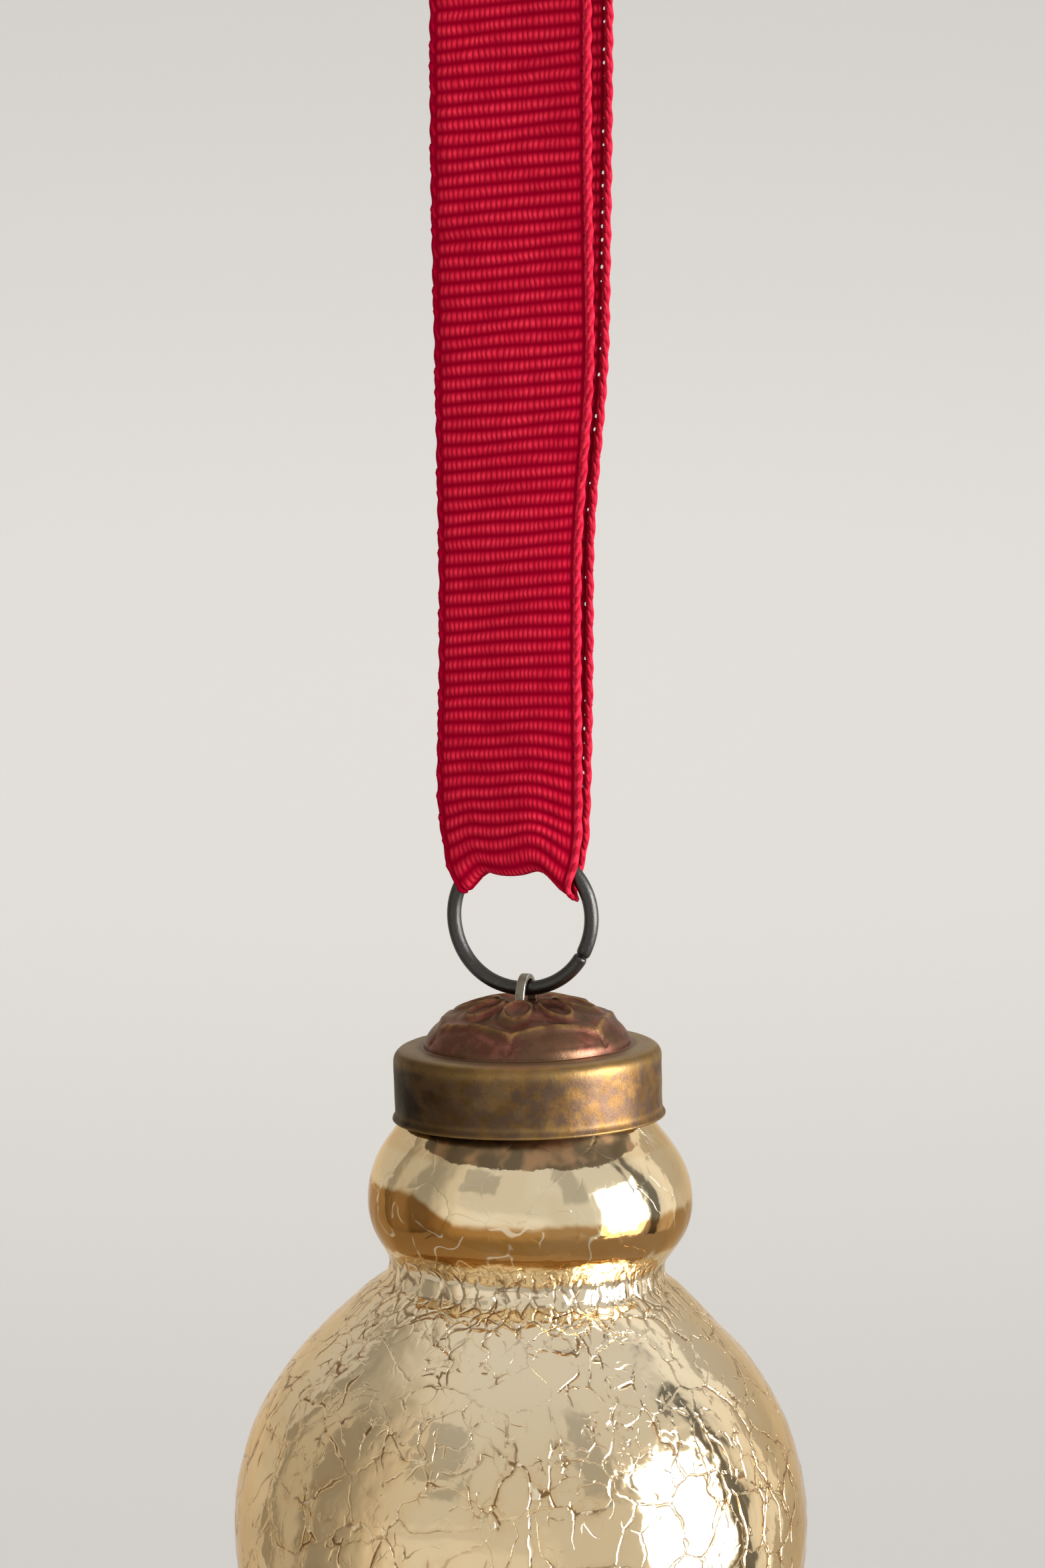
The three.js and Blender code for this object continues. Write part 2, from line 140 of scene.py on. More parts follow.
class Graph:
    """Adds nodes to a material's, the world's or a geometry tree."""

    def __init__(self, tree):
        self.tree = tree
        tree.nodes.clear()

    def node(self, kind, settings=None, inputs=None):
        made = self.tree.nodes.new(kind)
        for name, value in (settings or {}).items():
            setattr(made, name, value)
        for key, value in (inputs or {}).items():
            source = value.socket if isinstance(value, Term) else value
            if isinstance(source, bpy.types.NodeSocket):
                self.tree.links.new(source, made.inputs[key])
            else:
                made.inputs[key].default_value = source
        return made

    def term(self, kind, output, settings=None, inputs=None):
        return Term(self, self.node(kind, settings, inputs).outputs[output])

    def vector(self, operation, *values, scale=None):
        inputs = dict(enumerate(values))
        if scale is not None:
            inputs["Scale"] = scale
        return self.node("ShaderNodeVectorMath", {"operation": operation}, inputs).outputs[0]

    def parts(self, place):
        """The three numbers of a place."""
        split = self.node("ShaderNodeSeparateXYZ", None, {0: place})
        return tuple(Term(self, split.outputs[axis]) for axis in "XYZ")

    def height(self, place):
        return self.parts(place)[2]

    def colour(self, factor, first, second):
        """A colour mixed from two others, each a socket or four numbers."""
        settings = {"data_type": "RGBA", "blend_type": "MIX"}
        return self.node("ShaderNodeMix", settings, {0: factor, 6: first, 7: second}).outputs[2]

    def cloud(self, place, scale, detail=2.0, roughness=0.5):
        """Soft noise from 0 to 1."""
        inputs = {"Vector": place, "Scale": scale, "Detail": detail, "Roughness": roughness}
        return self.term("ShaderNodeTexNoise", "Fac", None, inputs)

    def wander(self, place, scale, reach):
        """The place, moved about by up to half the reach."""
        inputs = {"Vector": place, "Scale": scale, "Detail": 1.5}
        drift = self.node("ShaderNodeTexNoise", None, inputs).outputs["Color"]
        centred = self.vector("SUBTRACT", drift, (0.5, 0.5, 0.5))
        return self.vector("ADD", place, self.vector("SCALE", centred, scale=reach))

    def edge_distance(self, place, size):
        """Distance to the nearest edge between cells of that size, in the place's own unit."""
        settings = {"feature": "DISTANCE_TO_EDGE"}
        inputs = {"Vector": place, "Scale": 1 / size}
        return self.term("ShaderNodeTexVoronoi", "Distance", settings, inputs) * size


class Finish(Graph):
    """One material, with its shader and the places that patterns are measured from."""

    def __init__(self, name):
        self.material = bpy.data.materials.new(name)
        self.material.use_nodes = True
        super().__init__(self.material.node_tree)

    def millimetres(self):
        place = self.node("ShaderNodeTexCoord").outputs["Object"]
        return self.vector("SCALE", place, scale=1 / MM)

    def painted(self, name):
        """A number stored on the vertices by set_values."""
        return self.term("ShaderNodeAttribute", "Fac", {"attribute_name": name})

    def relief(self, height, strength=1.0):
        """A bump whose height is in millimetres."""
        inputs = {"Height": height, "Distance": MM, "Strength": strength}
        return self.node("ShaderNodeBump", None, inputs).outputs["Normal"]

    def shade(self, inputs):
        shader = self.node("ShaderNodeBsdfPrincipled", None, inputs)
        self.node("ShaderNodeOutputMaterial", None, {"Surface": shader.outputs[0]})
        return self.material


# Mesh helpers

def make_piece(name, vertices, faces, material):
    """A new object at the origin, its places in millimetres turned to metres in its mesh."""
    mesh = bpy.data.meshes.new(name)
    mesh.from_pydata((np.asarray(vertices) * MM).tolist(), [], faces)
    mesh.polygons.foreach_set("use_smooth", [True] * len(mesh.polygons))
    if material:
        mesh.materials.append(material)
    mesh.validate()
    piece = bpy.data.objects.new(name, mesh)
    bpy.context.scene.collection.objects.link(piece)
    return piece


def make_plain(piece):
    """Turns the piece with its modifiers into a plain mesh, and removes them."""
    graph = bpy.context.evaluated_depsgraph_get()
    finished = piece.evaluated_get(graph)
    mesh = bpy.data.meshes.new_from_object(finished, preserve_all_data_layers=True, depsgraph=graph)
    worn_out = piece.data
    piece.modifiers.clear()
    piece.data = mesh
    bpy.data.meshes.remove(worn_out)
    mesh.name = piece.name


def modifier_tree(name, sizes):
    """A geometry tree for a modifier, its source node, and the identifiers of its own inputs."""
    tree = bpy.data.node_groups.new(name, "GeometryNodeTree")
    tree.interface.new_socket("Geometry", in_out="INPUT", socket_type="NodeSocketGeometry")
    identifiers = [
        tree.interface.new_socket(label, in_out="INPUT", socket_type=kind).identifier
        for label, kind in sizes.items()]
    tree.interface.new_socket("Geometry", in_out="OUTPUT", socket_type="NodeSocketGeometry")
    graph = Graph(tree)
    return tree, graph, graph.node("NodeGroupInput"), identifiers


def run_modifier(piece, tree, identifiers, values):
    """Runs the tree on the piece with those values, and leaves a plain mesh."""
    modifier = piece.modifiers.new(tree.name, "NODES")
    modifier.node_group = tree
    for identifier, value in zip(identifiers, values):
        modifier[identifier] = value
    make_plain(piece)


def set_values(piece, name, values):
    """Stores one number for each vertex, for the material to read."""
    layer = piece.data.attributes.new(name, "FLOAT", "POINT")
    layer.data.foreach_set("value", np.asarray(values, np.float32))


def hand_over(piece, node):
    """Says what the finished piece rides on, and hides the part that it stands for."""
    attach(piece, BODY)
    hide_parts(node)


def smooth(value, low, high):
    share = np.clip((np.asarray(value, float) - low) / (high - low), 0, 1)
    return share * share * (3 - 2 * share)


def hump(value, width):
    return np.exp(-((np.asarray(value, float) / width) ** 2))


def bezier(*points, count=40):
    """Points along a cubic curve, its last one left out."""
    share = np.linspace(0, 1, count, endpoint=False)[:, None]
    start, lead, follow, end = (np.asarray(point, float) for point in points)
    return (
        start * (1 - share) ** 3
        + lead * 3 * share * (1 - share) ** 2
        + follow * 3 * share**2 * (1 - share)
        + end * share**3
    )


def arc(centre, radii, start, end, count=40):
    """Points along an ellipse's arc, its last one left out."""
    angle = np.linspace(start, end, count, endpoint=False)
    return np.stack([centre[0] + radii[0] * np.cos(angle), centre[1] + radii[1] * np.sin(angle)], 1)


def evenly_spaced(points, count):
    """The same line with that many points at equal steps."""
    points = np.asarray(points, float)
    steps = np.hypot(*np.diff(points, axis=0).T)
    along = np.concatenate([[0], np.cumsum(steps)])
    wanted = np.linspace(0, along[-1], count)
    return np.stack([np.interp(wanted, along, points[:, axis]) for axis in range(2)], 1)


def turned(outline, segments):
    """Vertices, faces, and each vertex's row, of a closed outline turned about Z.

    The outline gives radius and height, up the outside and down the inside."""
    angle = np.linspace(0, 2 * math.pi, segments, endpoint=False)
    vertices, rows, rings = [], [], []
    for row, (radius, height) in enumerate(outline):
        first = len(vertices)
        if radius < 1e-6:
            vertices.append((0, 0, height))
            rings.append([first] * segments)
        else:
            vertices.extend(zip(radius * np.cos(angle), radius * np.sin(angle), [height] * segments))
            rings.append(list(range(first, first + segments)))
        rows.extend([row] * (len(vertices) - first))
    faces = []
    for lower, upper in zip(rings, rings[1:] + rings[:1]):
        for side in range(segments):
            turn = (side + 1) % segments
            corners = [lower[side], lower[turn], upper[turn], upper[side]]
            face = list(dict.fromkeys(corners))
            if len(face) > 2:
                faces.append(face)
    return np.array(vertices), faces, np.array(rows)


def swept(places, across, up, section):
    """A section carried along a line of places, each with its own two directions, and capped."""
    section = np.asarray(section, float)
    vertices = (
        places[:, None, :]
        + across[:, None, :] * section[None, :, :1]
        + up[:, None, :] * section[None, :, 1:2]
    ).reshape(-1, 3)
    count, sides = len(places), len(section)
    faces = []
    for row in range(count - 1):
        for side in range(sides):
            turn = (side + 1) % sides
            ahead = row + 1
            faces.append((
                row * sides + side, row * sides + turn, ahead * sides + turn, ahead * sides + side))
    faces.append(tuple(range(sides))[::-1])
    faces.append(tuple((count - 1) * sides + side for side in range(sides)))
    return vertices, faces


# Sizes and colours that a user may change

def size_of(label, description, millimetres):
    return FloatProperty(name=label, description=description, default=millimetres * MM, unit="LENGTH")


def turn_of(label, description, degrees):
    return FloatProperty(
        name=label, description=description, default=math.radians(degrees), subtype="ANGLE")


def colour_of(label, description, *parts):
    return FloatVectorProperty(name=label, description=description, default=parts, subtype="COLOR")


class RibbonSettings(bpy.types.PropertyGroup):
    width: size_of("Width", "Width of the ribbon", 15)
    thickness: size_of("Thickness", "Thickness between the ribs", 0.22)
    rib_pitch: size_of("Rib pitch", "Distance from rib to rib", 1.2)
    rib_height: size_of("Rib height", "How far a rib stands out", 0.2)
    thread: size_of("Thread", "Distance from warp thread to warp thread", 0.50)
    lap: size_of("Lap", "Overlap of the ribbon's ends", 12)
    colour: colour_of("Colour", "Colour of the ribs", 0.45, 0.0045, 0.024)
    # Painted sheen: the colour that stands in for the light on the threads and on the right strand
    satin: colour_of("Satin", "Colour of the threads' shine", 0.81, 0.036, 0.074)
    # Painted shadow: the colour between the ribs
    shadow: colour_of("Shadow", "Colour between the ribs", 0.23, 0.0, 0.012)


class RingSettings(bpy.types.PropertyGroup):
    radius: size_of("Radius", "To the middle of the wire", 6.5)
    wire: size_of("Wire", "Diameter of the wire", 1.3)
    joint: turn_of("Joint", "Angle of the joint from +X towards the top", -30)
    colour: colour_of("Colour", "Colour of the patina", 0.075, 0.073, 0.069)


class EyeSettings(bpy.types.PropertyGroup):
    width: size_of("Width", "Width of the strip", 0.85)
    thickness: size_of("Thickness", "Thickness of the strip", 0.45)
    span: size_of("Span", "Between the middles of the legs", 3.7)
    colour: colour_of("Colour", "Colour of the nickel", 0.29, 0.265, 0.215)


class CapSettings(bpy.types.PropertyGroup):
    diameter: size_of("Diameter", "Diameter of the skirt", 24.3)
    skirt: size_of("Skirt", "Height of the skirt", 6.5)
    petals: IntProperty(name="Petals", description="Petals pressed round the eye", default=8, min=3)
    lobes: IntProperty(name="Lobes", description="Lobes of the outer ridge", default=6, min=3)
    patina: colour_of("Patina", "Colour in the hollows", 0.140, 0.058, 0.039)
    brass: colour_of("Brass", "Colour where it is worn", 0.50, 0.31, 0.10)


class GlassSettings(bpy.types.PropertyGroup):
    diameter: FloatProperty(
        name="Diameter", description="Widest diameter of the drop",
        default=GLASS_BOX[1].y - GLASS_BOX[0].y, unit="LENGTH")
    wall: size_of("Wall", "Thickness of the glass", 1.2)
    cell: size_of("Cell", "Size of the large crackle cells", 5.6)
    fine_cell: size_of("Fine cell", "Size of the small crackle cells", 2.5)
    silvering: colour_of("Silvering", "Colour of the mirror", 0.89, 0.69, 0.415)
    amber: colour_of("Amber", "Colour beside the cracks", 0.72, 0.42, 0.155)
    crack: colour_of("Crack", "Colour of the cracks", 0.200, 0.092, 0.030)


class StageSettings(bpy.types.PropertyGroup):
    azimuth: turn_of("Azimuth", "Turn of the camera round the ornament", 18)
    distance: FloatProperty(
        name="Distance", description="Level distance from the camera to the ornament's axis",
        default=0.4394, unit="LENGTH")
    camera_height: FloatProperty(
        name="Camera height", description="Height of the camera", default=-0.0437, unit="LENGTH")
    aim_height: FloatProperty(
        name="Aim height", description="Height of the point that the camera looks at",
        default=-0.0969, unit="LENGTH")
    lens: FloatProperty(
        name="Lens", description="Focal length in millimetres on a 36 mm frame", default=112.9)
    paper: colour_of("Paper", "Colour of the floor and backdrop", 0.683, 0.665, 0.645)


SETTINGS = {
    "ribbon": RibbonSettings,
    "ring": RingSettings,
    "eye": EyeSettings,
    "cap": CapSettings,
    "glass": GlassSettings,
    "stage": StageSettings,
}


def setting(group, name):
    """A group's size in millimetres, its colour as four numbers, or its plain number."""
    value = getattr(getattr(bpy.context.scene, "ornament_" + group), name)
    if hasattr(value, "__len__"):
        return (*value, 1)
    return value / MM if SETTINGS[group].bl_rna.properties[name].unit == "LENGTH" else value


# The cap's and the glass's own frames, in millimetres

CAP_LEAN = math.radians(1.4)
GLASS_LEAN = math.radians(0.8)
EYE_INNER_TOP = -114.6
SHOULDER_TOP = -120.65
CAP_SHEET = 0.45
FIT_GAP = 0.3
NECK_HEIGHT = 43
NECK_RADIUS = 11.15
DOME_RADIUS = 9.4
DOME_RISE = 4.4
CROWN_DIP = 0.55
CROWN_HEIGHT = DOME_RISE - CROWN_DIP
CROWN_RADIUS = 2.1
EYE_SLIP = 0.3


def cap_frame():
    """The cap hangs a little to one side, where the eye has slid on the ring."""
    hung = Matrix.Translation((EYE_SLIP, 0, EYE_INNER_TOP)) @ Matrix.Rotation(-CAP_LEAN, 4, "Y")
    return hung @ Matrix.Translation((0, 0, SHOULDER_TOP - EYE_INNER_TOP))


def glass_frame():
    """The glass hangs from the cap's inside, and leans back the other way."""
    lean = CAP_LEAN + GLASS_LEAN
    drop = CAP_SHEET + FIT_GAP + NECK_RADIUS * math.sin(lean) + NECK_HEIGHT
    return cap_frame() @ Matrix.Rotation(lean, 4, "Y") @ Matrix.Translation((0, 0, -drop))


def carried(vertices, matrix):
    """Places carried from a piece's own frame to the ornament's."""
    turn = np.array(matrix.to_3x3())
    return np.asarray(vertices) @ turn.T + np.array(matrix.translation)


# Ribbon

LOOP_DROP = 105
TOP_RADIUS = 3.9
FOLD_RADIUS = 1.15
SEAM_DEPTH = 24
SHEET = 0.4
HIDDEN_LEG, TOP_LEG, FRONT_LEG, FOLD_LEG, BACK_LEG, LAP_LEG = range(6)
LEFT_STRAND = 0.975
RIGHT_STRAND = 0.95
LEFT_LOOPS = 0.97
SCALLOP = 0.009
STITCHES = 8
STITCH_ROWS = (3.0, 9.0)
STITCH_LIFT = 0.27


class RibbonRoute:
    """The ribbon's middle line, in six legs.

    It runs from the hidden end up the back, over the top bend, down the front, round the fold, up
    the back again, and over its own start in the lap."""

    def __init__(self, lap):
        self.top = SHEET / 2 - TOP_RADIUS
        self.fold = FOLD_RADIUS - LOOP_DROP
        self.reach = math.hypot(self.top - self.fold, TOP_RADIUS - FOLD_RADIUS)
        seam_share = (SEAM_DEPTH + self.top) / (self.top - self.fold)
        self.to_top = self.reach * seam_share
        self.lengths = [
            self.to_top, math.pi * TOP_RADIUS, self.reach, math.pi * FOLD_RADIUS,
            self.reach - self.to_top, lap]
        self.starts = np.concatenate([[0], np.cumsum(self.lengths)])
        self.length = float(self.starts[-1])

    def place(self, along):
        """Depth, height, and the two parts of the outward direction, at each distance along."""
        along = np.asarray(along, float)
        back_top = np.array([TOP_RADIUS, self.top])
        back_foot = np.array([FOLD_RADIUS, self.fold])
        rise = (back_top - back_foot) / self.reach
        seam = back_top - rise * self.to_top
        out = np.array([rise[1], -rise[0]])
        depth, height = np.zeros_like(along), np.zeros_like(along)
        out_depth, out_height = np.zeros_like(along), np.zeros_like(along)
        for leg in range(len(self.lengths)):
            end = self.starts[leg + 1] if leg < LAP_LEG else np.inf
            inside = (along >= self.starts[leg]) & (along < end)
            gone = along[inside] - self.starts[leg]
            if leg in (HIDDEN_LEG, LAP_LEG):
                spot, face = seam + rise * gone[:, None], out
            elif leg == BACK_LEG:
                spot, face = back_foot + rise * gone[:, None], out
            elif leg == FRONT_LEG:
                spot = np.stack([-TOP_RADIUS + rise[0] * gone, self.top - rise[1] * gone], 1)
                face = np.array([-out[0], out[1]])
            else:
                radius = TOP_RADIUS if leg == TOP_LEG else FOLD_RADIUS
                centre = self.top if leg == TOP_LEG else self.fold
                angle = gone / radius + (0 if leg == TOP_LEG else math.pi)
                face = np.stack([np.cos(angle), np.sin(angle)], 1)
                spot = face * radius + (0, centre)
            depth[inside], height[inside] = spot[:, 0], spot[:, 1]
            out_depth[inside], out_height[inside] = face.T if face.ndim > 1 else face
        return depth, height, out_depth, out_height


def ribbon_surface(route, width, along, across, lift):
    """Places on the ribbon. Along is in millimetres, across from -1 to 1, lift off the middle."""
    lap_start = route.starts[LAP_LEG]
    depth, height, out_depth, out_height = route.place(along)
    rise = np.maximum(height + LOOP_DROP, 0)
    front = smooth(along, route.starts[TOP_LEG], route.starts[FRONT_LEG])
    front = front * (1 - smooth(along, route.starts[FOLD_LEG], route.starts[BACK_LEG]))
    lift = np.where(lift < 0, lift * (1 - 0.45 * np.exp(-rise / 3)), lift)
    lift = lift + smooth(along, lap_start - 3, lap_start) * (SHEET + 0.15)
    gathered = (width - 10.5) * np.exp(-rise / 2.2)
    side = np.abs(across)
    lobes = np.where(across < 0, 1.75, 1.95) * smooth(side, 0.45, 1.0)
    puckers = 0.45 * hump(across + 0.62, 0.2) + 0.55 * hump(across - 0.33, 0.24)
    droop = (lobes - puckers + 0.12) * np.exp(-rise / 5)
    crest = 0.9 * hump(across - 0.22, 0.42) * np.exp(-rise / 8) * smooth(rise, 0, 3)
    crease = 1.25 * np.exp(-rise / 9) * smooth(rise, 0.2, 4)
    fold_line = np.sqrt((across - 0.22) ** 2 + 0.06**2)
    bulge = crease * (0.45 - fold_line) * front
    wave = 0.22 * np.sin(height * 0.13 + 0.6) + 0.12 * np.sin(across * 2.4 + height * 0.07)
    wave = wave * smooth(rise, 4, 20)
    lift = lift + bulge + wave * np.where(front > 0.5, 1.0, 0.6)
    right_draw = 0.15 + 1.3 * smooth(-height, 56, 78) - 0.2 * smooth(-height, 97, 103)
    right_draw = right_draw * (1 - np.exp(-rise / 0.5))
    left_draw = 0.2 * hump(height + 80, 10) - 0.35 * smooth(-height, 88, 98)
    share = (across + 1) / 2
    x = across * (width - gathered) / 2 + left_draw * (1 - share) - right_draw * share
    y = depth + out_depth * lift
    z = height + out_height * lift - droop + crest * front
    return np.stack([x, y, z], -1)


def weft_skew(route, along):
    """How far the ribs run out of square, as a slope, fading out at the fold."""
    _, height, _, _ = route.place(along)
    turn = smooth(along, route.starts[FOLD_LEG], route.starts[BACK_LEG]) * 2 - 1
    return -turn * 0.090 * smooth(height + LOOP_DROP, 2, 26)


def edge_scallop(along, pitch):
    """How far the woven edges swell in and out, as a share of half the width."""
    return SCALLOP * np.cos(math.pi * along / pitch + np.sin(along * 0.21))


def set_weave(piece, weave):
    """Stores each vertex's place in the weave: across from -1 to 1, and along in millimetres."""
    for axis, label in enumerate(("spread", "weft")):
        set_values(piece, label, np.asarray(weave)[:, axis])


def weave_columns():
    """Steps across the ribbon, crowded where each edge has its groove and its strand."""
    edge = [0.885, 0.905, 0.93, 0.955, 0.98, 1.0]
    body = np.linspace(-0.85, 0.85, 19)
    return np.concatenate([-np.array(edge[::-1]), body, edge])


def ribbon_strip(route, width, thickness, pitch, rib_height):
    """The woven strip, ribbed on both sides, with the place of each vertex in the weave."""
    rows_per_rib = 6
    rows = int(round(route.length / pitch)) * rows_per_rib
    along = np.linspace(0, route.length, rows + 1)
    across = weave_columns()
    weft, spread = np.meshgrid(along, across, indexing="ij")
    slant = weft_skew(route, along)[:, None] * spread * width / 2
    ends = smooth(weft, 0, 4) * (1 - smooth(weft, route.length - 4, route.length))
    strays = 0.07 * np.sin(spread * 4.1 + weft * 0.83) * np.sin(weft * 0.37 + 1.3)
    real = np.clip(weft - (slant + strays) * ends, 0, route.length)
    side = np.abs(spread)
    narrow = spread < 0
    near = side - 0.05 * narrow
    swell = np.abs(np.sin(math.pi * weft / pitch)) * (1 - smooth(near, 0.80, 0.88))
    uneven = 1 + 0.14 * np.sin(np.floor(weft / pitch) * 12.9898 + spread * 1.7)
    thin_strand = 0.17 * np.sqrt(np.clip(1 - ((side - LEFT_STRAND) / 0.033) ** 2, 0, 1))
    full_strand = 0.24 * np.sqrt(np.clip(1 - ((side - RIGHT_STRAND) / 0.058) ** 2, 0, 1))
    flat = thickness / 2 * (1 - 0.35 * smooth(near, 0.82, 0.9))
    half = np.maximum(flat + rib_height * swell * uneven, np.where(narrow, thin_strand, full_strand))
    reach = spread * (1 + edge_scallop(weft, pitch) * smooth(side, 0.8, 1.0))
    faces_out = ribbon_surface(route, width, real, reach, half)
    faces_in = ribbon_surface(route, width, real, reach, -half)
    sides = 2 * len(across)
    loop = np.concatenate([faces_out, faces_in[:, ::-1]], axis=1)
    weave = np.concatenate([
        np.stack([spread, weft], -1), np.stack([spread, weft], -1)[:, ::-1]], axis=1)
    faces = []
    for row in range(rows):
        for column in range(sides):
            turn = (column + 1) % sides
            low, high = row * sides, (row + 1) * sides
            faces.append((low + column, high + column, high + turn, low + turn))
    faces.append(tuple(range(sides)))
    faces.append(tuple(rows * sides + column for column in range(sides))[::-1])
    return loop.reshape(-1, 3), faces, weave.reshape(-1, 2)


def selvedge_points(route, width, pitch):
    """Where the weft turns round at each edge: its place, its turn and its place in the weave."""
    places, turns, weave = [], [], []
    for edge, step, centre in ((-1, pitch * 1.5, LEFT_LOOPS), (1, pitch / 2, RIGHT_STRAND)):
        count = int(route.length / step)
        along = (np.arange(count) + 0.5) * step
        reach = edge * centre * (1 + edge_scallop(along, pitch))
        middle = ribbon_surface(route, width, along, reach, np.zeros(count))
        ahead = ribbon_surface(route, width, along + 0.3, reach, np.zeros(count))
        outer = ribbon_surface(route, width, along, reach, np.full(count, 0.3))
        for here, there, out in zip(middle, ahead, outer):
            forward = Vector(there - here).normalized()
            up = Vector(out - here).normalized()
            aside = up.cross(forward).normalized()
            up = forward.cross(aside)
            basis = Matrix((forward, aside, up)).transposed()
            tilted = basis @ Matrix.Rotation(edge * math.radians(-14), 3, "Z")
            places.append(here)
            turns.append(tuple(tilted.to_euler()))
        weave.extend(np.stack([np.full(count, float(edge)), along], 1))
    return places, turns, weave


def loops_tree(material):
    """Geometry nodes: sets a rounded thread loop on each point, turned as the point says."""
    tree, graph, source, identifiers = modifier_tree("Thread loops", {"Loop size": "NodeSocketVector"})
    bead = graph.node("GeometryNodeMeshUVSphere", None, {"Segments": 6, "Rings": 5, "Radius": 0.5})
    turn = graph.node("GeometryNodeInputNamedAttribute", {"data_type": "FLOAT_VECTOR"}, {"Name": "turn"})
    as_turn = graph.node("FunctionNodeEulerToRotation", None, {0: turn.outputs[0]})
    copies = graph.node("GeometryNodeInstanceOnPoints", None, {
        "Points": source.outputs[0], "Instance": bead.outputs["Mesh"],
        "Rotation": as_turn.outputs[0], "Scale": source.outputs[1]})
    real = graph.node("GeometryNodeRealizeInstances", None, {0: copies.outputs[0]})
    rounded = graph.node("GeometryNodeSetShadeSmooth", None, {0: real.outputs[0]})
    coloured = graph.node("GeometryNodeSetMaterial", None, {0: rounded.outputs[0], "Material": material})
    graph.node("NodeGroupOutput", None, {0: coloured.outputs[0]})
    return tree, identifiers


def thread_loops(name, points, size, material):
    """An object of thread loops, one at each point, made plain. Its weave place goes with it."""
    places, turns, weave = points
    cloud = make_piece(name, places, [], None)
    turn = cloud.data.attributes.new("turn", "FLOAT_VECTOR", "POINT")
    turn.data.foreach_set("vector", np.asarray(turns, np.float32).ravel())
    set_weave(cloud, weave)
    tree, identifiers = loops_tree(material)
    run_modifier(cloud, tree, identifiers, [[value * MM for value in size]])
    return cloud


def store_weave(piece, length):
    """Turns the weave's place on each vertex into a UV map, from 0 to 1 across and along."""
    mesh = piece.data
    spread = np.zeros(len(mesh.vertices), np.float32)
    weft = np.zeros(len(mesh.vertices), np.float32)
    mesh.attributes["spread"].data.foreach_get("value", spread)
    mesh.attributes["weft"].data.foreach_get("value", weft)
    corners = np.zeros(len(mesh.loops), np.int32)
    mesh.loops.foreach_get("vertex_index", corners)
    uv = np.stack([(spread[corners] + 1) / 2, weft[corners] / length], 1)
    layer = mesh.uv_layers.new(name="weave")
    layer.data.foreach_set("uv", uv.astype(np.float32).ravel())


def joined(name, pieces):
    """One object from several plain ones."""
    with bpy.context.temp_override(active_object=pieces[0], selected_editable_objects=pieces):
        bpy.ops.object.join()
    pieces[0].name = name
    pieces[0].data.name = name
    return pieces[0]


def grosgrain_finish(width, length, pitch, thread):
    """A painted shine on each warp thread over its rib, painted shade between the ribs, twisted edge
    strands lit on the right and shaded on the left, and pinholes by the right one.
    """
    finish = Finish("grosgrain")
    weave = finish.node("ShaderNodeUVMap", {"uv_map": "weave"}).outputs[0]
    across, along, _ = finish.parts(weave)
    across = (across - 0.5) * width
    along = along * length
    spot = finish.node("ShaderNodeCombineXYZ", None, {"X": across, "Y": along}).outputs[0]
    swell = ((along / pitch).fraction() * math.pi).sine().at_least(0.0)
    number = (along / pitch).whole()
    shift = finish.term("ShaderNodeTexWhiteNoise", "Value", {"noise_dimensions": "1D"}, {"W": number})
    sway = finish.cloud(spot, 0.5, 1.0) * 1.2
    warp = abs(((across / thread + shift * 0.3 + sway) * math.pi).sine())
    fibre = finish.cloud(finish.vector("MULTIPLY", spot, (9.0, 2.2, 1.0)), 1.0, 3.0)
    tone = finish.cloud(spot, 0.35, 2.0)
    right = (across / width).fades(-0.1, 0.1)
    side = abs(across) / (width / 2) - (1 - right) * 0.055
    body = 1 - side.fades(0.83, 0.88)
    strand = side.fades(0.89, 0.91)
    patchy = finish.cloud(spot, 0.8, 2.0).fades(0.25, 0.65) * 0.5 + 0.6
    # Painted highlight on each warp thread's top, fading into painted shade towards the right side, where
    # the ribbon leans back
    painted_thread_sheen = (warp**0.9) * (swell**2.5) * (1 - (across / width).fades(0.12, 0.5) * 0.5) * patchy
    painted_shade_and_dark_tone = setting("ribbon", "shadow")
    full = setting("ribbon", "colour")
    satin = setting("ribbon", "satin")
    # Painted shade in the grooves between the ribs and between the warp threads
    base = finish.colour(((swell**1.35) * 0.95 + 0.05) * (0.4 + 0.6 * warp) * body, painted_shade_and_dark_tone, full)
    base = finish.colour(painted_thread_sheen * body * (0.25 + fibre * 0.65 + shift * 0.2).at_most(1.0), base, satin)
    # Painted highlight on the twisted edge strands: strong on the right one, and held back on the left one
    # as painted shade
    twist = ((along / pitch * 2 + side * 4) * math.pi).sine() * 0.5 + 0.5
    painted_strand_light = right * 0.85 + 0.10
    base = finish.colour(strand * (0.25 + 0.9 * twist * fibre) * painted_strand_light, base, satin)
    # Darker patches at random, in the same colour as the painted shade
    base = finish.colour(tone.fades(0.40, 0.75) * 0.35, base, painted_shade_and_dark_tone)
    height = painted_thread_sheen * body * 0.11 + fibre * 0.02 + strand * twist * 0.05
    single = {"noise_dimensions": "1D"}
    chance = finish.term("ShaderNodeTexWhiteNoise", "Value", single, {"W": number * 1.7})
    hole_along = (along / pitch).fraction() * pitch - pitch * 0.5
    hole_across = across - width / 2 + 0.78
    hole = hole_along * hole_along + hole_across * hole_across * 1.6
    by_fold = 1 - finish.height(finish.millimetres()).fades(-98.0, -96.0)
    hole = (hole - chance * 0.05 + 0.022).fades(0.0, 0.012).at_least(by_fold)
    return finish.shade({
        "Base Color": base, "Roughness": 0.60 - fibre * 0.16, "Alpha": hole,
        "Normal": finish.relief(height), "Specular IOR Level": 0.0,
        "Sheen Weight": 0.02, "Sheen Roughness": 0.3, "Sheen Tint": (0.9, 0.1, 0.15, 1)})


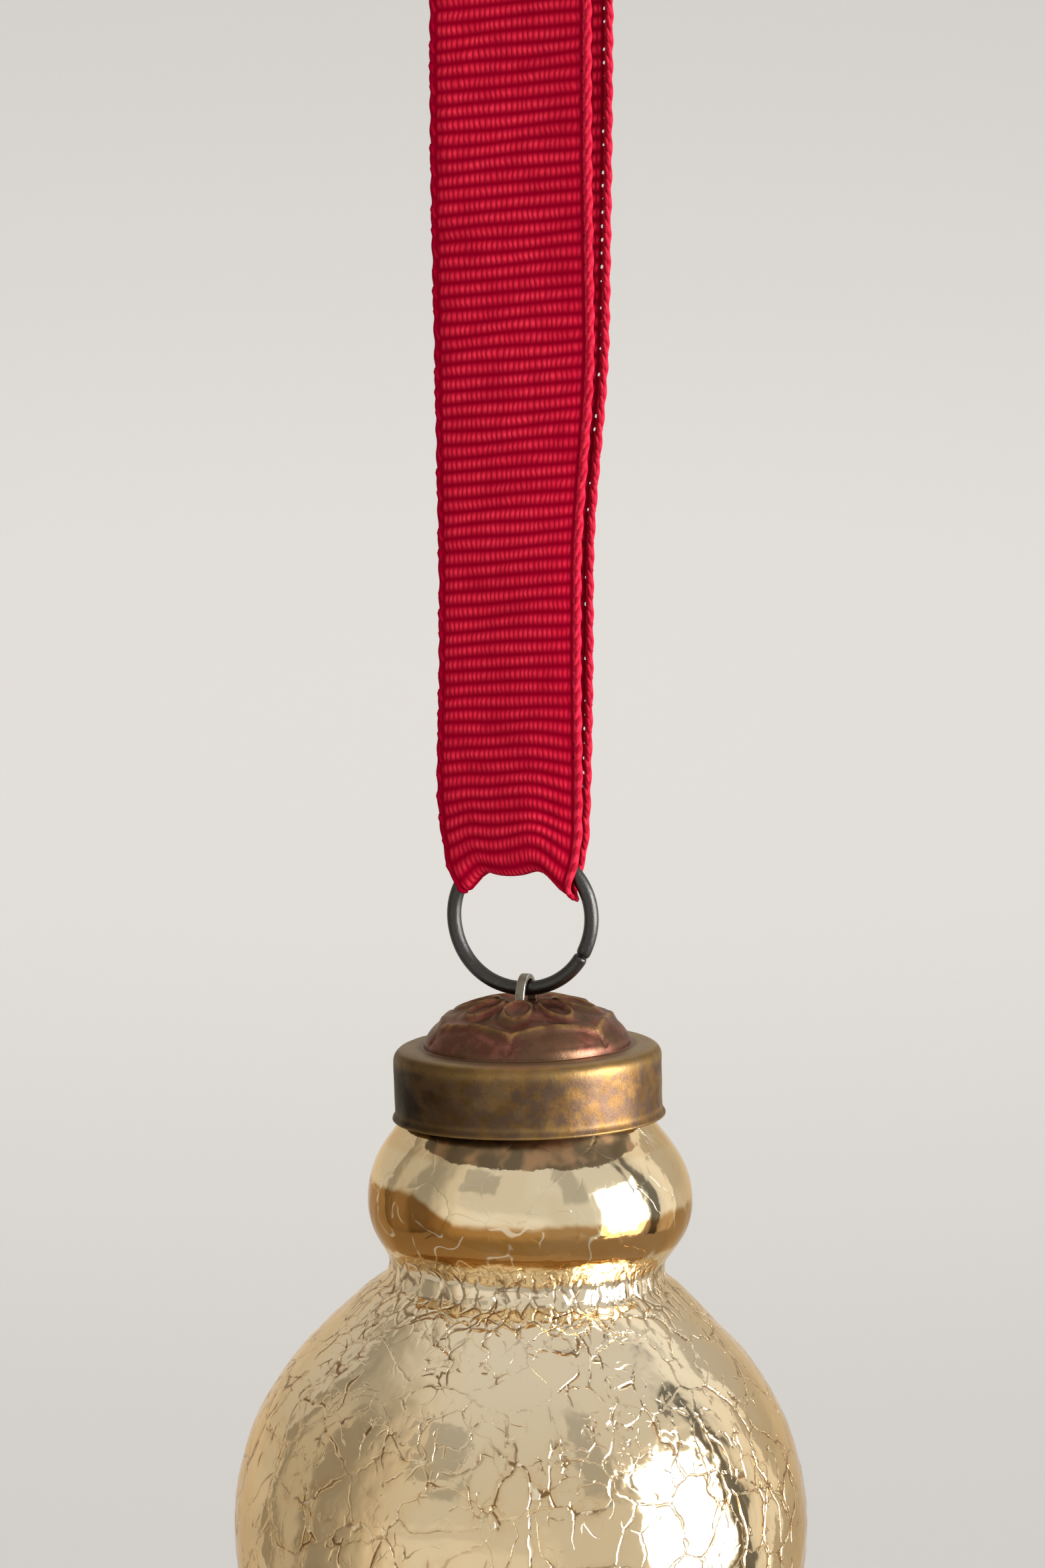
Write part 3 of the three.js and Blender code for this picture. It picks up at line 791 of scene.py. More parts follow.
def build_ribbon():
    width = setting("ribbon", "width")
    pitch = setting("ribbon", "rib_pitch")
    route = RibbonRoute(setting("ribbon", "lap"))
    finish = grosgrain_finish(width, route.length, pitch, setting("ribbon", "thread"))
    thickness, rib_height = setting("ribbon", "thickness"), setting("ribbon", "rib_height")
    shape = ribbon_strip(route, width, thickness, pitch, rib_height)
    strip = make_piece("ribbon_strip", shape[0], shape[1], finish)
    set_weave(strip, shape[2])
    edges = thread_loops("ribbon_loops", selvedge_points(route, width, pitch), (1.5, 0.52, 0.60), finish)
    seam = thread_loops("ribbon_seam", seam_points(route, width), (1.1, 0.3, 0.26), finish)
    piece = joined("grosgrain_ribbon", [strip, edges, seam])
    store_weave(piece, route.length)
    hand_over(piece, "ribbon")
    width * MM
    return piece


def seam_points(route, width):
    """Stitches across the lap, two rows on the outside and the same on the inside."""
    places, turns, weave = [], [], []
    for row in STITCH_ROWS:
        along = route.starts[LAP_LEG] + row
        for stitch in range(STITCHES):
            spread = -0.84 + 1.68 * (stitch + 0.5) / STITCHES
            for start, lift in ((along, STITCH_LIFT), (row, -STITCH_LIFT)):
                here = ribbon_surface(route, width, np.array([start]), np.array([spread]), lift)[0]
                places.append(here)
                turns.append((0.0, 0.0, 0.0))
                weave.append((spread, start))
    return places, turns, weave


# Jump ring

RING_STEPS = 260
WIRE_SIDES = 36
JOINT_GAP = 0.12


def gunmetal_finish():
    """Dark patina with a few brown scuffs."""
    finish = Finish("dark_wire")
    place = finish.millimetres()
    patches = finish.cloud(place, 0.55, 3.0)
    grain = finish.cloud(place, 6.0, 3.0, 0.6)
    scuffs = finish.cloud(finish.vector("MULTIPLY", place, (2.2, 9.0, 2.2)), 0.9, 4.0, 0.65)
    dark = setting("ring", "colour")
    base = finish.colour(patches.fades(0.45, 0.7) * 0.8, dark, (0.070, 0.067, 0.061, 1))
    base = finish.colour(scuffs.fades(0.60, 0.72) * 0.6, base, (0.22, 0.19, 0.14, 1))
    rough = 0.27 + patches * 0.18 + scuffs.fades(0.6, 0.8) * 0.15
    return finish.shade({
        "Base Color": base, "Metallic": 1.0, "Roughness": rough,
        "Normal": finish.relief(grain * 0.012 + scuffs * 0.03)})


def build_ring():
    radius = setting("ring", "radius")
    wire = setting("ring", "wire") / 2
    joint = setting("ring", "joint")
    centre = np.array(RING_CENTRE) / MM
    centre[0], centre[1] = 0, 0
    half_gap = JOINT_GAP / 2 / radius
    angle = np.linspace(joint + half_gap, joint + 2 * math.pi - half_gap, RING_STEPS)
    from_end = np.minimum(np.arange(RING_STEPS), np.arange(RING_STEPS)[::-1])
    swell = np.where(from_end == 0, 0.86, np.where(from_end == 1, 0.96, 1.0))
    wobble = 0.03 * np.sin(angle * 2 + 0.7) + 0.02 * np.sin(angle * 5)
    out = np.stack([np.cos(angle), np.zeros(RING_STEPS), np.sin(angle)], 1)
    aside = np.tile([0.0, 1.0, 0.0], (RING_STEPS, 1))
    step_aside = 0.10 * (hump(angle - angle[0], 0.05) - hump(angle - angle[-1], 0.05))
    places = centre + out * (radius + wobble)[:, None] + aside * step_aside[:, None]
    turn = np.linspace(0, 2 * math.pi, WIRE_SIDES, endpoint=False)
    section = np.stack([np.cos(turn), np.sin(turn)], 1) * wire
    vertices, faces = swept(places, out * swell[:, None], aside * swell[:, None], section)
    faces = [face[::-1] for face in faces]
    piece = make_piece("gunmetal_ring", vertices, faces, gunmetal_finish())
    hand_over(piece, "jump_ring")
    return piece


# Hanger eye

EYE_RISE = 2.65
EYE_FOOT = 1.7
EYE_BEND = 0.45
EYE_ROUND_OFF = 0.09
QUARTER_ARC = 0.5523


def nickel_finish():
    """Dull brushed nickel, brighter along its worn corners."""
    finish = Finish("dull_nickel")
    place = finish.millimetres()
    patches = finish.cloud(place, 0.9, 3.0)
    brushed = finish.cloud(finish.vector("MULTIPLY", place, (14.0, 2.0, 2.0)), 1.0, 3.0)
    worn = finish.painted("worn")
    base = finish.colour(patches.fades(0.4, 0.7) * 0.7, setting("eye", "colour"), (0.14, 0.12, 0.09, 1))
    base = finish.colour(worn * 0.8, base, (0.75, 0.71, 0.60, 1))
    rough = 0.36 - worn * 0.14 + brushed * 0.12
    return finish.shade({
        "Base Color": base, "Metallic": 1.0, "Roughness": rough,
        "Normal": finish.relief(brushed * 0.012)})


def build_eye():
    half_width = setting("eye", "width") / 2
    half_thick = setting("eye", "thickness") / 2
    leg = setting("eye", "span") / 2
    foot = CROWN_HEIGHT - CAP_SHEET - FIT_GAP - half_thick
    top = CROWN_HEIGHT + EYE_RISE - half_thick
    rise = top - CROWN_HEIGHT
    half = np.concatenate([
        np.linspace((leg + EYE_FOOT, foot), (leg + EYE_BEND, foot), 6, endpoint=False),
        bezier((leg + EYE_BEND, foot), (leg + EYE_BEND / 3, foot), (leg, foot + EYE_BEND / 3),
               (leg, foot + EYE_BEND), count=8),
        np.linspace((leg, foot + EYE_BEND), (leg, CROWN_HEIGHT), 4, endpoint=False),
        bezier((leg, CROWN_HEIGHT), (leg, CROWN_HEIGHT + QUARTER_ARC * rise), (QUARTER_ARC * leg, top),
               (0, top), count=24),
    ])
    line = np.concatenate([half * (-1, 1), [(0, top)], half[::-1]])
    slope = np.gradient(line, axis=0)
    slope /= np.hypot(*slope.T)[:, None]
    places = np.stack([np.zeros(len(line)), line[:, 0], line[:, 1]], 1)
    across = np.tile([1.0, 0.0, 0.0], (len(line), 1))
    up = np.stack([np.zeros(len(line)), -slope[:, 1], slope[:, 0]], 1)
    corners = [(1, 1, 0), (-1, 1, 90), (-1, -1, 180), (1, -1, 270)]
    section, worn = [], []
    for along, over, start in corners:
        for turn in (0, 30, 60, 90):
            angle = math.radians(start + turn)
            section.append((
                along * (half_width - EYE_ROUND_OFF) + EYE_ROUND_OFF * math.cos(angle),
                over * (half_thick - EYE_ROUND_OFF) + EYE_ROUND_OFF * math.sin(angle)))
            worn.append(1.0 if turn in (30, 60) else 0.0)
    vertices, faces = swept(places, across, up, section)
    piece = make_piece("nickel_eye", carried(vertices, cap_frame()), faces, nickel_finish())
    set_values(piece, "worn", worn * len(line))
    hand_over(piece, "hanger_eye")
    return piece


# Brass cap

PETAL_PITCH = 4.5
PETAL_LENGTH = 3.8
PETAL_WIDTH = 2.5
LOBE_CUSP = 8.4
LOBE_DEPTH = 0.9
ROSETTE_TURN = math.radians(8)
SHOULDER_FILLET = 1.1
LIP_FLARE = 0.25
LIP_HEIGHT = 0.8
CAP_SEGMENTS = 420
LIT_SIDE_REACH = 12


def dome_height(radius):
    share = np.clip(np.asarray(radius, float) / DOME_RADIUS, 0, 1)
    dish = 1 - smooth(radius, CROWN_RADIUS / 2, CROWN_RADIUS + CAP_SHEET)
    return DOME_RISE * np.sqrt(1 - share**2) - CROWN_DIP * dish


def rosette(radius, angle):
    """Height that the pressed flower adds to the dome, and how worn it is, from 0 to 1."""
    petals = setting("cap", "petals")
    lobes = setting("cap", "lobes")
    turn = angle + math.pi / 2 - ROSETTE_TURN
    pitch = 2 * math.pi / petals
    aside = (turn - pitch * np.round(turn / pitch)) * radius
    along = radius - PETAL_PITCH
    broad = PETAL_WIDTH / 2 * (1 + 0.16 * along / (PETAL_LENGTH / 2))
    oval = np.hypot(aside / broad, along / (PETAL_LENGTH / 2))
    rim = hump(oval - 1, 0.17) * 0.27
    hollow = -0.14 * (1 - smooth(oval, 0.3, 0.95))
    seed = 0.10 * hump(oval, 0.28)
    cusp = np.abs(np.sin(turn * lobes / 2))
    ridge_radius = LOBE_CUSP - LOBE_DEPTH * cusp**0.8
    past = radius - ridge_radius
    crest = 0.25 * np.where(past < 0, hump(past, 0.5), hump(past, 0.28))
    step = -0.16 * smooth(past, 0, 0.5) * (1 - smooth(radius, 9.0, 9.4))
    lobe_pitch = 2 * math.pi / lobes
    fold = (turn - lobe_pitch * np.round(turn / lobe_pitch)) * radius
    groove = -0.30 * hump(fold, 0.3) * smooth(past, -0.2, 0.3) * (1 - smooth(radius, 9.1, 9.4))
    dimple = -0.10 * hump(oval - 1.55, 0.25)
    height = rim + hollow + seed + crest + step + groove + dimple
    worn = np.clip(hump(oval - 1, 0.11) * 0.95 + hump(past, 0.14) * 0.9, 0, 1)
    return height * smooth(radius, CROWN_RADIUS * 0.9, CROWN_RADIUS * 1.2), worn


def cap_outline(skirt_radius, skirt):
    """Outline of the sheet, up the outside to the crown and down the inside, with its row kinds."""
    lip = skirt_radius + LIP_FLARE
    lip_top = -skirt + LIP_HEIGHT
    fillet = (skirt_radius - SHOULDER_FILLET, -SHOULDER_FILLET)
    outer = np.concatenate([
        bezier((lip - 0.12, -skirt - 0.02), (lip + 0.02, -skirt - 0.02), (lip + 0.04, -skirt + 0.16),
               (lip - 0.02, -skirt + 0.22), count=6),
        bezier((lip - 0.02, -skirt + 0.22), (lip - 0.12, -skirt + 0.4), (skirt_radius, lip_top - 0.2),
               (skirt_radius, lip_top), count=6),
        np.linspace((skirt_radius, lip_top), (skirt_radius, -SHOULDER_FILLET), 26, endpoint=False),
        arc(fillet, (SHOULDER_FILLET, SHOULDER_FILLET), 0, math.pi / 2, count=12),
        np.linspace((fillet[0], 0), (DOME_RADIUS + 0.12, 0), 5, endpoint=False),
    ])
    share = np.linspace(1, 0, 66, endpoint=False)
    radius = DOME_RADIUS * np.sin(math.pi / 2 * share)
    dome = np.stack([radius, dome_height(radius)], 1)
    crown = np.array([[0, CROWN_HEIGHT]])
    inner_radius = DOME_RADIUS - CAP_SHEET
    lining = inner_radius * np.sin(math.pi / 2 * np.linspace(0, 1, 12))
    under = np.stack([lining, dome_height(lining * DOME_RADIUS / inner_radius) - CAP_SHEET], 1)
    inner_fillet = SHOULDER_FILLET - CAP_SHEET
    inner = np.concatenate([
        under,
        arc(fillet, (inner_fillet, inner_fillet), math.pi / 2, 0, count=6),
        np.linspace((skirt_radius - CAP_SHEET, -SHOULDER_FILLET), (skirt_radius - CAP_SHEET, lip_top), 6),
        [(lip - CAP_SHEET, -skirt + 0.08)],
    ])
    return np.concatenate([outer, dome, crown, inner]), len(outer), len(outer) + len(dome)


def brass_finish():
    """Aged brass: reddish on the dome, tarnished on the skirt, golden where it is worn, lighter towards the
    front right with painted light, and with a painted highlight round the shoulder's fillet.
    """
    finish = Finish("aged_brass")
    place = finish.millimetres()
    x, y, z = finish.parts(place)
    # Painted light: highest at the front right, where the softbox's light falls
    lit_side = (x * 0.75 - y * 0.5) / LIT_SIDE_REACH
    # Worn places; round the shoulder's fillet they also stand for a painted highlight
    worn = finish.painted("worn")
    dome = finish.painted("dome")
    stain = finish.cloud(place, 0.22, 3.0, 0.55)
    mottle = finish.cloud(place, 0.7, 4.0, 0.6)
    speck = finish.cloud(place, 6.0, 3.0, 0.6)
    rubs = finish.cloud(finish.vector("MULTIPLY", place, (0.6, 0.6, 1.0)), 0.42, 5.0, 0.55)
    patina = setting("cap", "patina")
    brass = setting("cap", "brass")
    umber = (0.016, 0.0085, 0.003, 1)
    rust = finish.colour(mottle.fades(0.42, 0.62), patina, (0.230, 0.088, 0.060, 1))
    rust = finish.colour(stain.fades(0.48, 0.60) * 0.6, rust, (0.125, 0.080, 0.042, 1))
    painted_side_light = lit_side.fades(-0.30, 0.75)
    # Rubbed places at random, with the painted side light added to them
    rubbing_and_side_light = (rubs.fades(0.38, 0.66) * 0.36 + painted_side_light * 0.80 - 0.15).at_most(1.0).at_least(0.0)
    tarnish_and_side_light = finish.colour(rubbing_and_side_light, umber, (0.196, 0.106, 0.040, 1))
    # Purple patches, only where the painted side light falls
    plum = (1 - dome) * mottle.fades(0.42, 0.58) * painted_side_light * 0.75
    base = finish.colour(plum, finish.colour(dome, tarnish_and_side_light, rust), (0.098, 0.062, 0.046, 1))
    flecked = dome * (mottle.fades(0.36, 0.62) * 0.7 + 0.15)
    # An even share on the skirt's worn places, which keeps the fillet's painted highlight continuous
    even = (1 - dome) * (stain.fades(0.35, 0.65) * 0.25 + 0.45)
    # Worn places, brighter on the side with painted light
    rubbed_and_side_light = worn * (flecked + even) * (0.6 + painted_side_light * 0.4)
    # Brass patches, only on the side with painted light
    patches = (1 - dome) * stain.fades(0.53, 0.66) * 0.16 * painted_side_light
    # Worn brass, with the painted side light and the fillet's painted highlight in it
    shine = (rubbed_and_side_light + patches).at_most(1.0)
    base = finish.colour(shine, base, brass)
    level = z - x * math.tan(CAP_LEAN)
    shoulder = level.within(SHOULDER_TOP - 0.18, SHOULDER_TOP + 0.6, 0.14) * (1 - dome)
    base = finish.colour(shoulder * 0.5, base, (0.36, 0.285, 0.21, 1))
    base = finish.colour(speck.fades(0.58, 0.72) * 0.45, base, (0.026, 0.014, 0.007, 1))
    rough = 0.41 - dome * 0.09 - shine * 0.08 + speck * 0.12
    height = speck * 0.02 + mottle * 0.06 + stain * 0.10
    return finish.shade({
        "Base Color": base, "Metallic": 0.96, "Roughness": rough,
        "Specular Tint": (0.90, 0.84, 0.76, 1),
        "Normal": finish.relief(height, 0.7)})


def build_cap():
    skirt_radius = setting("cap", "diameter") / 2
    skirt = setting("cap", "skirt")
    outline, shoulder_rows, dome_rows = cap_outline(skirt_radius, skirt)
    vertices, faces, rows = turned(outline, CAP_SEGMENTS)
    radius = np.hypot(vertices[:, 0], vertices[:, 1])
    angle = np.arctan2(vertices[:, 1], vertices[:, 0])
    on_dome = (rows >= shoulder_rows) & (rows < dome_rows)
    height, worn = rosette(radius, angle)
    inside = radius < DOME_RADIUS * 0.995
    vertices[:, 2] += np.where(on_dome & inside, height, 0)
    drift = np.array([noise.noise(Vector(place) * 0.22) for place in vertices])
    dents = np.array([noise.noise(Vector(place) * 0.55 + Vector((9, 4, 2))) for place in vertices])
    keep = radius / skirt_radius
    scale = 1 + (drift * 0.07 + dents * 0.035) * keep / np.maximum(radius, 1)
    vertices[:, 0] *= scale
    vertices[:, 1] *= scale
    outside = rows < dome_rows
    z = vertices[:, 2]
    # The worn band round the shoulder's fillet, widened to stand for the fillet's painted highlight as well
    # as its wear
    edge = hump(z + 0.80, 0.55) * (radius > skirt_radius - 0.9)
    lip = 0.62 * hump(z + skirt - 0.08, 0.14) + 0.27 * hump(z + skirt - LIP_HEIGHT, 0.2)
    flat = 1.3 * hump(z, 0.25) * (radius > DOME_RADIUS + 0.5)
    worn = np.where(on_dome, worn, np.clip(edge * 0.65 + lip + flat, 0, 1)) * outside
    piece = make_piece("brass_cap_pressed", carried(vertices, cap_frame()), faces, brass_finish())
    set_values(piece, "worn", worn)
    set_values(piece, "dome", smooth(-radius, -(DOME_RADIUS + 1.0), -(DOME_RADIUS - 0.2)) * outside)
    hand_over(piece, "brass_cap")
    return piece


# Glass

WAIST_HEIGHT = 24.2
WAIST_RADIUS = 12.45
BULB_HEIGHT = 30
BULB_RADIUS = 14.75
SHOULDER_RISE = 24.8
SHOULDER_SWELL = 0.045
DROP_LENGTH = 41
TIP_RADIUS = 2.4
TIP_TURN = math.radians(20)
DROP_TAPER = 7
DROP_FULLNESS = 20
SHOULDER_END = 1.08
NECK_SEAT = 0.75
DROP_MIDDLE = -164.8
SKIRT_HEIGHT = 6.5
GLASS_ROWS = 262
LINING_ROWS = 44
GLASS_SEGMENTS = 300
BLOWN_ASIDE = 0.45
BLOWN_TURN = math.radians(18)
STREAK_CELL = 1.7
LONG_CELL = 3.2
PROBE_DEPTH = 0.35
CELL_RISE = 0.055
UNDULATION = 0.36
# Heights of the painted amber reflection on the bulb's underside
BAND_FOOT = (-138.5, -138.1)
BAND_TOP = (-134.9, -134.2)
BRIGHT_REFLECTION_ZONE = (-134.3, -129.4)
BLUSH_ZONE = (-134.4, -127.0)
GLINT_LINE_ZONE = (-139.5, -124.0)
GLINT_CREAM = (0.98, 0.86, 0.62, 1)


def glass_outside(radius):
    """The outside of the glass from the drop's tip to the neck's rim."""
    tip_centre = TIP_RADIUS - DROP_LENGTH
    tip_end = np.array([math.cos(TIP_TURN), -math.sin(TIP_TURN)]) * TIP_RADIUS
    taper = np.array([math.sin(TIP_TURN), math.cos(TIP_TURN)]) * DROP_TAPER + tip_end
    shoulder_end = math.acos(WAIST_RADIUS * SHOULDER_END / radius)
    outwards, upwards = math.cos(shoulder_end), math.sin(shoulder_end)
    flank = arc((0, 0), (radius, SHOULDER_RISE), 0, shoulder_end, count=120)
    flank[:, 1] *= 1 + SHOULDER_SWELL * smooth(-flank[:, 0], -18.5, -13.5)
    shoulder = np.array([radius * outwards, SHOULDER_RISE * upwards * (1 + SHOULDER_SWELL)])
    lead = np.array([-radius * upwards, SHOULDER_RISE * outwards])
    lead = shoulder + lead / np.hypot(*lead)
    waist = np.array([WAIST_RADIUS, WAIST_HEIGHT])
    bulb = np.array([BULB_RADIUS, BULB_HEIGHT])
    neck = np.array([NECK_RADIUS, NECK_HEIGHT - SKIRT_HEIGHT * NECK_SEAT])
    below, above = bulb[1] - waist[1], neck[1] - bulb[1]
    return np.concatenate([
        arc((0, tip_centre), (TIP_RADIUS, TIP_RADIUS), -math.pi / 2, -TIP_TURN, count=24),
        bezier(tip_end + (0, tip_centre), taper + (0, tip_centre), (radius, -DROP_FULLNESS), (radius, 0),
               count=160),
        flank,
        bezier(shoulder, lead, waist - (0, 1), waist, count=30),
        bezier(waist, waist + (0, below * 0.22), bulb - (0, below * 0.6), bulb, count=40),
        bezier(bulb, bulb + (0, above * 0.55), neck + (0.5, -2), neck, count=40),
        np.linspace(neck, (NECK_RADIUS, NECK_HEIGHT), 12),
    ])


def blown(vertices):
    """The bulb was blown a little off the drop's axis, towards the camera's right."""
    moved = np.array(vertices)
    aside = BLOWN_ASIDE * hump(moved[:, 2] - BULB_HEIGHT, 9)
    moved[:, 0] += aside * math.cos(BLOWN_TURN)
    moved[:, 1] += aside * math.sin(BLOWN_TURN)
    return moved


def glass_outline(radius, wall, rows, lining_rows):
    """The shell's closed outline, up the outside and down the lining, and how many rows are outside."""
    outside = evenly_spaced(glass_outside(radius), rows)
    outside[0, 0] = 0
    dense = glass_outside(radius)
    slope = np.gradient(dense, axis=0)
    slope /= np.hypot(*slope.T)[:, None]
    lining = dense + np.stack([-slope[:, 1], slope[:, 0]], 1) * wall
    lining = evenly_spaced(lining[1:], lining_rows)
    lining[0, 0] = 0
    rim = [
        (NECK_RADIUS - wall * 0.25, NECK_HEIGHT + 0.02),
        (NECK_RADIUS - wall * 0.75, NECK_HEIGHT + 0.02)]
    outside[-1, 1] -= wall / 4
    lining[-1, 1] -= wall / 4
    return np.concatenate([outside, rim, lining[::-1]]), rows + 1


def steep_cracks(graph, place, bent, cell, flat_from, flat_to, kept_off):
    """Distance in millimetres from cracks between cells.

    A crack that runs nearly level with the surface would show as a blot. A look a little deeper
    into the drop finds it, and its distance is raised so that it is left out.
    """
    outwards = graph.vector("NORMALIZE", graph.vector("SUBTRACT", place, (0, 0, DROP_MIDDLE)))
    deeper = graph.vector("ADD", bent, graph.vector("SCALE", outwards, scale=PROBE_DEPTH))
    distance = graph.edge_distance(bent, cell)
    level = abs(graph.edge_distance(deeper, cell) - distance)
    return distance + level.fades(flat_from, flat_to) * kept_off


def crackle(graph, place, cell, fine_cell):
    """Distances from the large and the fine cracks, how strong each is, and two zones."""
    bent = graph.wander(place, 0.16, 4.2)
    bent = graph.wander(bent, 0.8, 0.75)
    large = steep_cracks(graph, place, bent, cell, 0.14, 0.26, 0.5)
    tangled = graph.wander(place, 0.38, 2.8)
    fine = steep_cracks(graph, place, tangled, fine_cell, 0.14, 0.26, 0.4)
    height = graph.height(place)
    upper = height.fades(-166.0, -150.0) * (1 - height.fades(-143.0, -140.5))
    waist = height.fades(-146.0, -143.0) * (1 - height.fades(-140.0, -138.0))
    bulb = height.fades(-141.0, -138.5)
    broad = graph.cloud(place, 0.15, 2.0)
    torn = graph.cloud(place, 0.30, 2.0)
    snapped = graph.cloud(place, 0.85, 2.0)
    large_strength = (0.25 + 0.75 * broad.fades(0.36, 0.60)) * snapped.fades(0.30, 0.46) * (1 - bulb * 0.85)
    fine_strength = torn.fades(0.48, 0.64) * (0.25 + 0.75 * upper) * snapped.fades(0.42, 0.54)
    fine_strength = fine_strength * (1 - bulb * 0.9)
    return large, fine, large_strength, fine_strength, waist, bulb


def streaks(graph, place):
    """Distance from upright cracks, which crowd round the waist."""
    bent = graph.wander(place, 0.5, 1.2)
    squeezed = graph.vector("MULTIPLY", bent, (1.0, 1.0, 0.30))
    return graph.edge_distance(squeezed, STREAK_CELL)


def long_cracks(graph, place):
    """Distance from long cracks that run down from the waist, and how strong they are."""
    bent = graph.wander(place, 0.22, 4.5)
    squeezed = graph.vector("MULTIPLY", bent, (1.0, 1.0, 0.36))
    distance = steep_cracks(graph, place, squeezed, LONG_CELL, 0.12, 0.24, 0.5)
    reach = graph.cloud(place, 0.11, 1.0).fades(0.44, 0.56) * graph.cloud(place, 0.6, 1.0).fades(0.36, 0.50)
    height = graph.height(place)
    return distance, reach * (1 - height.fades(-142.0, -139.5))


def crackle_tree(material):
    """Geometry nodes: raises each crackle cell a little, and lets the surface undulate."""
    sizes = {"Cell rise": "NodeSocketFloat", "Undulation": "NodeSocketFloat"}
    tree, graph, source, identifiers = modifier_tree("Crackle relief", sizes)
    rise, sway = Term(graph, source.outputs["Cell rise"]), Term(graph, source.outputs["Undulation"])
    position = graph.node("GeometryNodeInputPosition").outputs[0]
    place = graph.vector("SCALE", position, scale=1 / MM)
    cell, fine_cell = setting("glass", "cell"), setting("glass", "fine_cell")
    large, fine, strong, slight, waist, bulb = crackle(graph, place, cell, fine_cell)
    upright = streaks(graph, place)
    outer = graph.term("GeometryNodeInputNamedAttribute", 0, {"data_type": "FLOAT"}, {"Name": "outer"})
    run, running = long_cracks(graph, place)
    pillow = large.fades(0.0, 1.1) * (strong * 0.7 + 0.3) + fine.fades(0.0, 0.6) * slight * 0.4
    pillow = pillow + run.fades(0.0, 0.8) * running * 0.6
    fluted = upright.fades(0.0, 0.6) * waist * 0.9
    swing = graph.cloud(place, 0.13, 1.0) - 0.5
    ripple = (graph.cloud(place, 0.36, 1.0) - 0.5) * 0.28
    lift = (pillow * rise + fluted * rise + (swing + ripple) * sway * (1 - bulb * 0.6)) * outer
    normal = graph.node("GeometryNodeInputNormal").outputs[0]
    offset = graph.vector("SCALE", normal, scale=(lift * MM).socket)
    moved = graph.node("GeometryNodeSetPosition", None, {"Geometry": source.outputs[0], "Offset": offset})
    rounded = graph.node("GeometryNodeSetShadeSmooth", None, {0: moved.outputs[0]})
    real = graph.node("GeometryNodeRealizeInstances", None, {0: rounded.outputs[0]})
    last = graph.node("GeometryNodeSetMaterial", None, {0: real.outputs[0], "Material": material})
    graph.node("NodeGroupOutput", None, {0: last.outputs[0]})
    return tree, identifiers


def ragged_dark_rim(finish, place):
    """A dark rim below the neck, in two ragged runs, from 0 to 1."""
    x, y, z = finish.parts(place)
    ragged = finish.cloud(place, 0.65, 4.0, 0.6) - 0.5
    turn = y.angle_to(x - 0.7) + math.radians(72)
    sector = (turn * 2).cosine()
    depth = z + ragged * 1.3 - (1 - sector) * (1 - sector) * 0.8
    return depth.fades(-129.75, -129.6) * (sector + ragged * 0.6).fades(-0.24, -0.12)


def painted_amber_reflection(height, left, swirl):
    """A painted reflection of the drop below: the warm band below the bulb, wavy, and drawn up on the
    camera's left, from 0 to 1.
    """
    wavy = height + (swirl - 0.5) * 1.5
    top = wavy - left.fades(5.0, 11.0) * 2.2
    band = wavy.fades(*BAND_FOOT) * (1 - top.fades(*BAND_TOP))
    return band * (0.85 + 0.35 * swirl) * (0.85 + left.fades(-12, 10) * 0.15)


def bulb_glint_lines(finish, place, height):
    """Painted highlights: thin pale glinting lines over the bulb, from 0 to 1."""
    contour = abs(finish.cloud(finish.wander(place, 0.22, 7.0), 0.16, 1.0) - 0.5)
    fold = (1 - (contour / 0.010).fades(0.4, 1.4)) * height.within(*GLINT_LINE_ZONE, 0.5)
    return fold * finish.cloud(place, 0.5, 1.0).fades(0.42, 0.52) * 0.6


